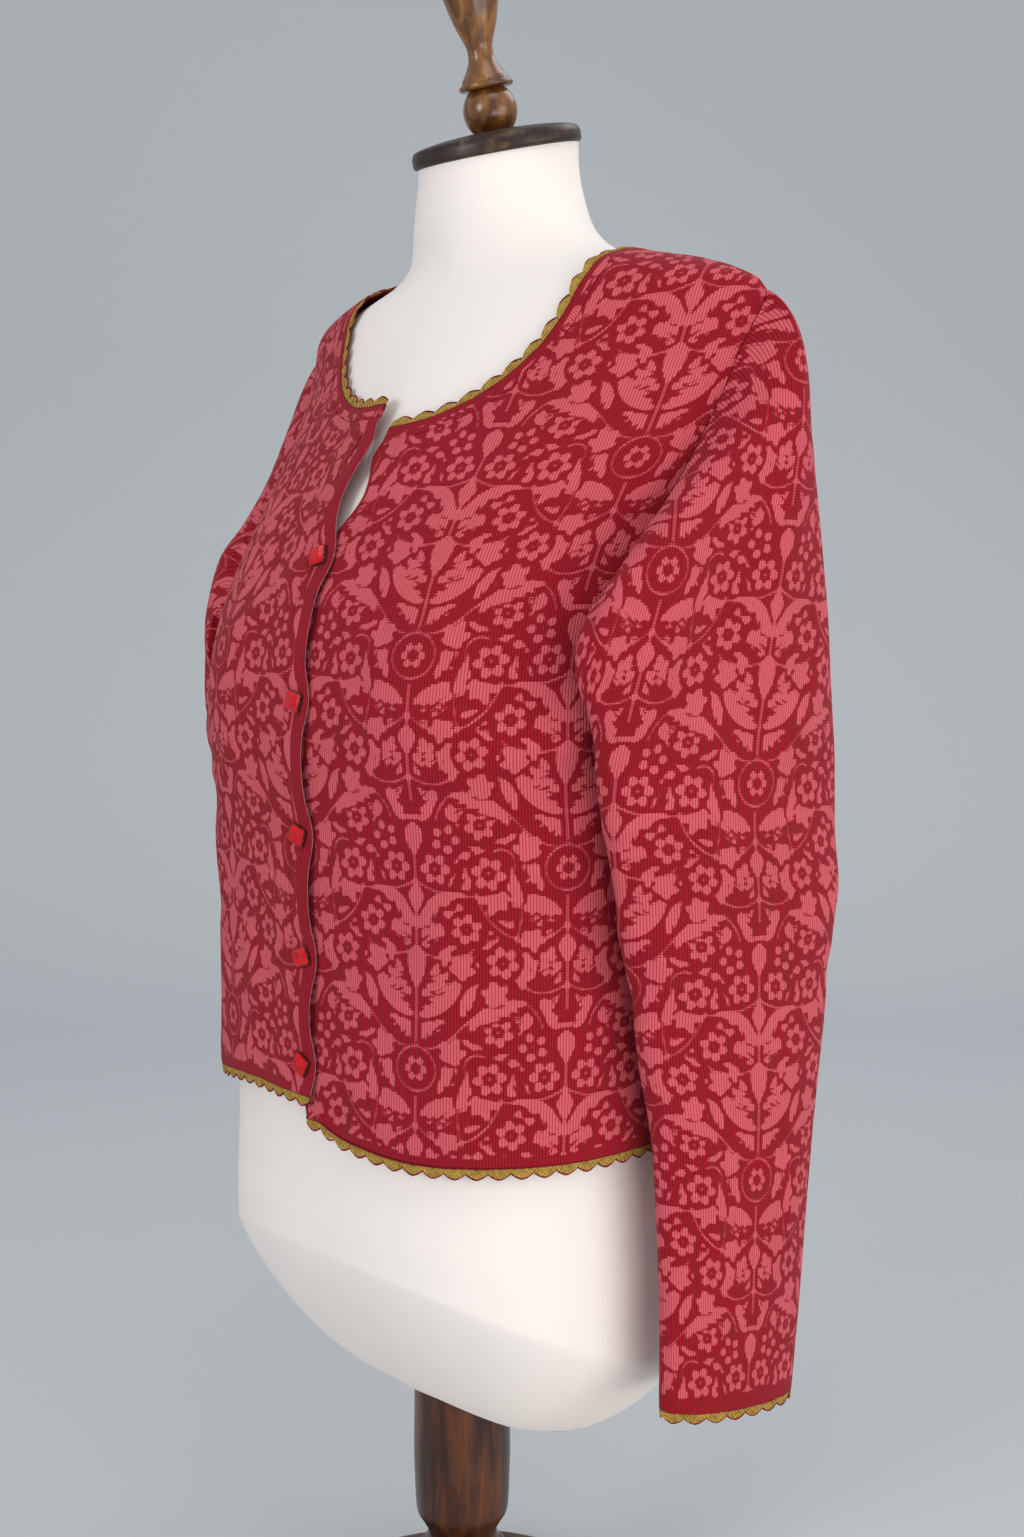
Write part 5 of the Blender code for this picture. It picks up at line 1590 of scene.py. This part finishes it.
def formRing(height, share=0.0, shrink=0.0):
    n = form["segments"]
    turn = np.arange(n) * 2 * math.pi / n
    power = section["power"](height)
    s, c = np.sin(turn), np.cos(turn)
    x = section["halfWidth"](height) * np.sign(s) * np.abs(s) ** (2 / power)
    centre = section["centreY"](height)
    edge = np.where(c > 0, section["frontY"](height), section["backY"](height))
    y = centre + (edge - centre) * np.abs(c) ** (2 / power)
    point, normal = place(x, y, np.full(n, height), -formInset(height))
    point = point - unit(normal * np.array([1, 1, 0])) * shrink
    point[:, 2] += share * (form["slope"] * point[:, 1] + form["bowl"] * point[:, 1] ** 2)
    return point


def stackRings(name, rings, material, sharp=40):
    rings = np.array(rings)
    faces = ringFaces(*rings.shape[:2])
    return faceOutwards(meshObject(name, rings.reshape(-1, 3), faces, material, sharp=sharp))


def makeForm():
    deep, wide, bottom = form["rim"]["deep"], form["rim"]["wide"], form["bottom"]
    rim = []
    for turn in np.radians(np.linspace(88, 2, 26)):
        rise, run = (1 - f(turn) ** (2 / form["rim"]["power"]) for f in (math.sin, math.cos))
        rim.append(formRing(bottom + deep * rise, 1.0, wide * run))
    seat = formRing(bottom)
    seat[:, :2] *= form["seat"] / np.linalg.norm(seat[:, :2], axis=1, keepdims=True)
    seat[:, 2] = garment["hemHeight"] + bottom + form["slope"] * seat[:, 1]
    rings = [seat + (rim[0] - seat) * s for s in (0, 0.04, 0.2, 0.45, 0.7, 0.9)] + rim
    lean = smoothTable((bottom + deep, -0.105, -0.070, -0.030), (1.0, 0.70, 0.35, 0.0))
    for height in np.linspace(bottom + deep, form["neckFoot"], 150):
        rings.append(formRing(height, float(lean(height))))
    capY, capH = form["capCentre"]
    top, slope = capH - garment["seam"], math.tan(math.radians(form["capTilt"]))
    tilt = smoothTable((form["neckFoot"], 0.556, 0.569, top), (0.0, 0.35, 0.7, 1.0))
    for height in np.linspace(form["neckFoot"] + 0.003, top, 12):
        ring = formRing(height)
        ring[:, 2] += float(tilt(height)) * slope * (ring[:, 1] - capY)
        rings.append(ring)
    return claim(stackRings("formBody", rings, jersey, sharp=60), "form_torso")


# turned wood
def arc(radiusAt, heightAt, radius, start, end, count=14):
    return [(radiusAt + radius * math.cos(math.radians(a)),
             heightAt + radius * math.sin(math.radians(a))) for a in np.linspace(start, end, count)]


def smoothProfile(rows, count):
    rows = np.array(rows)
    length = lengthAlong(rows)
    at = np.linspace(0, length[-1], count)
    return list(zip(smoothTable(length, rows[:, 0])(at), smoothTable(length, rows[:, 1])(at)))


def turnedPiece(name, node, profile, material, placed=Matrix.Identity(4), segments=128,
                topSlope=0.0):
    around = np.arange(segments) * 2 * math.pi / segments
    rings = []
    for radius, height in profile:
        rings.append(np.stack([radius * np.cos(around), radius * np.sin(around),
                               np.full(segments, float(height))], -1))
    rings[-1][:, 2] += topSlope * rings[-1][:, 1]
    turn, shift = np.array(placed.to_3x3()), np.array(placed.translation)
    rings = [ring @ turn.T + shift for ring in rings]
    claim(stackRings(name, rings, material, sharp=32), node)


stand = {
    "columnRadius": 0.0312, "foot": 0.040,
    "baseRadius": 0.130, "baseThick": 0.024,
}


def makeStand():
    bottom = garment["hemHeight"] + form["bottom"]
    r, foot, thick, wide = (stand[k] for k in ("columnRadius", "foot", "baseThick", "baseRadius"))
    turnedPiece("basePlate", "base",
                [(wide - 0.0060, 0.0), (wide - 0.0030, 0.0012), (wide, 0.005)]
                + arc(wide - 0.009, 0.0125, 0.009, 0, 84)
                + arc(wide - 0.0135, 0.0250, 0.0036, 262, 190, 6)
                + [(wide - 0.022, thick - 0.0006), (0.050, thick), (0.030, thick)], redBrownWood,
                segments=160)
    column = ([(foot - 0.001, thick + garment["seam"]), (foot, thick + 0.001),
               (foot, thick + 0.008)] + arc(foot + 0.004, thick + 0.030, 0.020, 250, 180)
              + arc(r - 0.010, thick + 0.052, 0.011, -70, 70)
              + arc(r + 0.002, thick + 0.0715, 0.0105, 215, 145, 8)
              + smoothProfile([(r - 0.0045, thick + 0.0815), (r - 0.0010, thick + 0.0880),
                               (r, thick + 0.104)], 10)
              + smoothProfile([(r, thick + 0.106), (r + 0.0006, bottom - 0.040),
                               (r, bottom - garment["seam"])], 14))
    turnedPiece("standColumn", "column", column, redBrownWood,
                topSlope=form["slope"])


neckTop = {
    "rim": 0.0080, "dome": 0.0065,      # the cap's edge and rise
    "foot": 82,                         # where on the dome the ball sits, in degrees
    "ball": 0.0168, "ballHeight": 0.0264, "ballEnd": 52,
    "ring": (0.0150, 0.0412, 0.0019, -100, 95, 12),
    # radius and height
    "vase": ((0.0160, 0.0432), (0.0112, 0.0500), (0.0080, 0.0575), (0.0078, 0.0620),
             (0.0100, 0.0690), (0.0130, 0.0770), (0.0160, 0.0880), (0.0180, 0.0980),
             (0.0188, 0.1070), (0.0172, 0.1160), (0.0120, 0.1222), (0.0050, 0.1245)),
}


def makeNeckTop():
    capY, capH = form["capCentre"]
    seat = (Matrix.Translation((0, capY, garment["hemHeight"] + capH))
            @ Matrix.Rotation(math.radians(form["capTilt"]), 4, "X"))
    radius, rim, rise = form["capRadius"], neckTop["rim"], neckTop["dome"]
    dome = [(radius * math.cos(a), rim + rise * math.sin(a))
            for a in np.radians(np.linspace(14, 89, 24))]
    turnedPiece("neckCap", "neck_cap",
                [(radius - 0.0016, 0.0), (radius - 0.0008, 0.0004), (radius, 0.0016),
                 (radius, rim - 0.0022), (radius - 0.0004, rim - 0.0006)] + dome, darkWood, seat,
                segments=144)
    foot = rim + rise * math.sin(math.radians(neckTop["foot"])) + garment["seam"]
    ball, middle = neckTop["ball"], neckTop["ballHeight"]
    start = math.degrees(math.asin((foot - middle) / ball))
    profile = (arc(0, middle, ball, start, neckTop["ballEnd"], 30) + arc(*neckTop["ring"])
               + smoothProfile(neckTop["vase"], 60)[2:])
    turnedPiece("finialTurned", "finial", profile, honeyWood, seat, segments=96)


# the garment
sheets = []
for side, name, node in (("left", "frontPanelLeft", "front_left"),
                         ("right", "frontPanelRight", "front_right"),
                         ("back", "backPanel", "back")):
    piece, size, area = knitSheet(PanelCloth(side), name, panelOutline(side), knit["shift"],
                                  hemRise[side])
    claim(piece, node)
    sheets.append([piece, size, area, "draped", []])

for side, name, node in (("left", "buttonBand", "button_band"),
                         ("right", "buttonholeBand", "buttonhole_band")):
    (piece, *others), tall = frontBand(side, name, node)
    size = (garment["frontBand"], tall * closure["layFlat"])
    sheets.append([piece, size, size[0] * size[1], "draped", others])

backOthers = sheets[2][4]
pieces, neckLines = neckband()
backOthers += pieces
backOthers += scallopEdge("neckScallops", "neck_trim", *neckLines, crochet["neck"])
print("bands made")


def hemLine():
    # the knitted lower edge from the right front's edge round to the left's, seen from above
    parts = []
    for side in ("right", "back", "left"):
        if side == "back":
            full = float(back.full(0.0))
            w = np.linspace(-full, full, 400)
            h = 0 * w
        else:
            inner = innerEdge(side, 0.02)
            foot = float(hemRise[side](inner))
            w = np.linspace(-float(reachOf[side](foot)),
                            float(front.full(0.0)) - garment["seam"] / 2, 300)
            h = np.where(w < inner, foot, hemRise[side](w) * ease(w, w[-1] + 1e-3, w[-1] - 0.03))
            if side == "left":
                w, h = w[::-1], h[::-1]
        low, normal = panelPoint(side, w, h)
        parts.append((low, low - panelPoint(side, w, h + 0.002)[0], normal))
    base, way, normal = (np.concatenate(group) for group in zip(*parts))
    return base, unit(way), unit(normal)


backOthers += scallopEdge("hemScallops", "hem_trim", *hemLine(), crochet["hem"])

for side in ("left", "right"):
    cloth = SleeveCloth(side)
    name = "sleeve" + side.capitalize()
    piece, size, area = knitSheet(cloth, name, sleeveOutline(), 2 * knit["shift"],
                                  lambda u: np.full_like(u, sleeve["foot"]))
    claim(piece, "sleeve_" + side)
    a = np.linspace(-math.pi, math.pi, 400)[:-1]
    p = np.stack([a, 0 * a + 2.0], -1)
    cuff, normal = cloth.point(p)
    way = unit(cuff - cloth.point(p - (0, 0.02))[0])
    trims = scallopEdge("cuffScallops" + side.capitalize(), "cuff_trim_" + side, cuff, way, normal,
                        crochet["cuff"], closed=True)
    sheets.append([piece, size, area, "hung", trims])
print("sleeves made")


def seamCord(name, edge, normal):
    # the linked stitches that close a seam, sunk between the two edges
    path = edge - normal * garment["cloth"] * linking["seamSink"]
    made = cord(name, path, garment["cloth"] * linking["seam"], seamYarn)
    backOthers.append(claim(made, "back"))


for side, sign in (("left", 1), ("right", -1)):
    under, tip = garment["underarm"], garment["shoulderTip"]
    h = np.linspace(0.001, under - 0.001, 300)
    seamCord("sideSeam" + side.capitalize(), *panelPoint("back", sign * back.full(h), h))
    x = np.linspace(garment["neckHalfWidth"] + garment["neckband"] + 0.001,
                    float(section["halfWidth"](tip)) - 0.001, 160)
    h = ridgeHeight(x)
    seamCord("shoulderSeam" + side.capitalize(), *panelPoint("back", sign * back.full(h), h))
    for label, half, panel in (("Front", front, side), ("Back", back, "back")):
        w, h = armholeLine(half, np.linspace(0.002, 0.998, 300)).T
        seamCord("armhole" + label + side.capitalize(),
                 *panelPoint(panel, (sign if panel == "back" else 1) * w, h))

for number, height in enumerate(garment["buttonHeights"], 1):
    makeButton(number, height)
body = makeForm()
makeStand()
makeNeckTop()
print("form and stand made")

for piece, (width, length), area, held, others in sheets:
    min(area, width * length)
    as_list(others)


# camera, floor and light
view = {
    "eye": (0.767, -0.741, 0.725),
    "forward": (-0.6929, 0.7121, -0.1132),
    "focalPixels": 1700.0, "imageHeight": 1537.0,
}
cameraData = bpy.data.cameras.new("camera")
cameraData.sensor_width = 36.0
cameraData.lens = 36.0 * view["focalPixels"] / view["imageHeight"]
camera = addObject("camera", cameraData)
camera.location = view["eye"]
camera.rotation_mode = "QUATERNION"
camera.rotation_quaternion = Vector(view["forward"]).to_track_quat("-Z", "Y")
bpy.context.scene.camera = camera

studio = {
    "backdrop": colour("c4c9cd"), "air": colour("eef1f4"), "airStrength": 0.70,
    "bend": 1.2, "wall": 1.6,           # the backdrop's sweep: its radius and where it starts
    "near": -5.0, "top": 6.0, "halfWidth": 7.0,
    "aim": (0, 0, 0.65),                # where the lamps point
    # x, y, z, size, watts, tint
    "lamps": ((0.0, -2.4, 1.2, 0.9, 20.0, "fffaf8"), (2.3, 0.3, 0.7, 1.4, 19.0, "fff8f0"),
              (0.2, 1.3, 2.3, 1.2, 10.0, "ffffff"), (0.9, -0.5, 2.5, 1.0, 8.0, "fffaf4"),
              (1.7, -0.7, 0.15, 0.9, 12.0, "fff6f0")),
}


def makeStudio():
    # one sheet: floor towards the camera, swept up into a wall behind
    paint, w, shader = newMaterial("backdropPaint", Roughness=0.95, Specular_IOR_Level=0.1)
    noise = w.make("ShaderNodeTexNoise", inputs={"Scale": 2.0})
    feed(w.blend(noise * 0.08, studio["backdrop"], (0.5, 0.5, 0.5)), shader, "Base Color")
    ahead = np.array(view["forward"][:2]) / np.hypot(*view["forward"][:2])
    aside = np.array([ahead[1], -ahead[0]])
    r, start = studio["bend"], studio["wall"]
    profile = [(studio["near"], 0.0), (start, 0.0)]
    profile += [(start + r * math.sin(a), r - r * math.cos(a)) for a in np.radians(range(5, 91, 5))]
    profile.append((start + r, studio["top"]))
    points, faces = [], []
    for k, (out, up) in enumerate(profile):
        for sign in (-1, 1):
            x, y = ahead * out + aside * sign * studio["halfWidth"]
            points.append((x, y, up))
        if k:
            faces.append((2 * k - 2, 2 * k - 1, 2 * k + 1, 2 * k))
    sweep = meshObject("backdrop", points, faces, paint, sharp=80)
    sweep.data.flip_normals()
    world = bpy.data.worlds.new("studioAir")
    bpy.context.scene.world = world
    world.use_nodes = True
    sky = world.node_tree.nodes["Background"]
    sky.inputs[0].default_value = (*studio["air"], 1)
    sky.inputs[1].default_value = studio["airStrength"]
    aim = Vector(studio["aim"])
    for k, (x, y, z, size, watts, tint) in enumerate(studio["lamps"]):
        data = bpy.data.lights.new("softbox%d" % k, "AREA")
        data.shape, data.size, data.energy, data.color = "SQUARE", size, watts, colour(tint)
        lamp = addObject(data.name, data)
        lamp.location = (x, y, z)
        lamp.rotation_mode = "QUATERNION"
        lamp.rotation_quaternion = (aim - Vector((x, y, z))).to_track_quat("-Z", "Y")


makeStudio()
bpy.context.scene.view_settings.view_transform = "Standard"
print("studio made")

print("scene made")
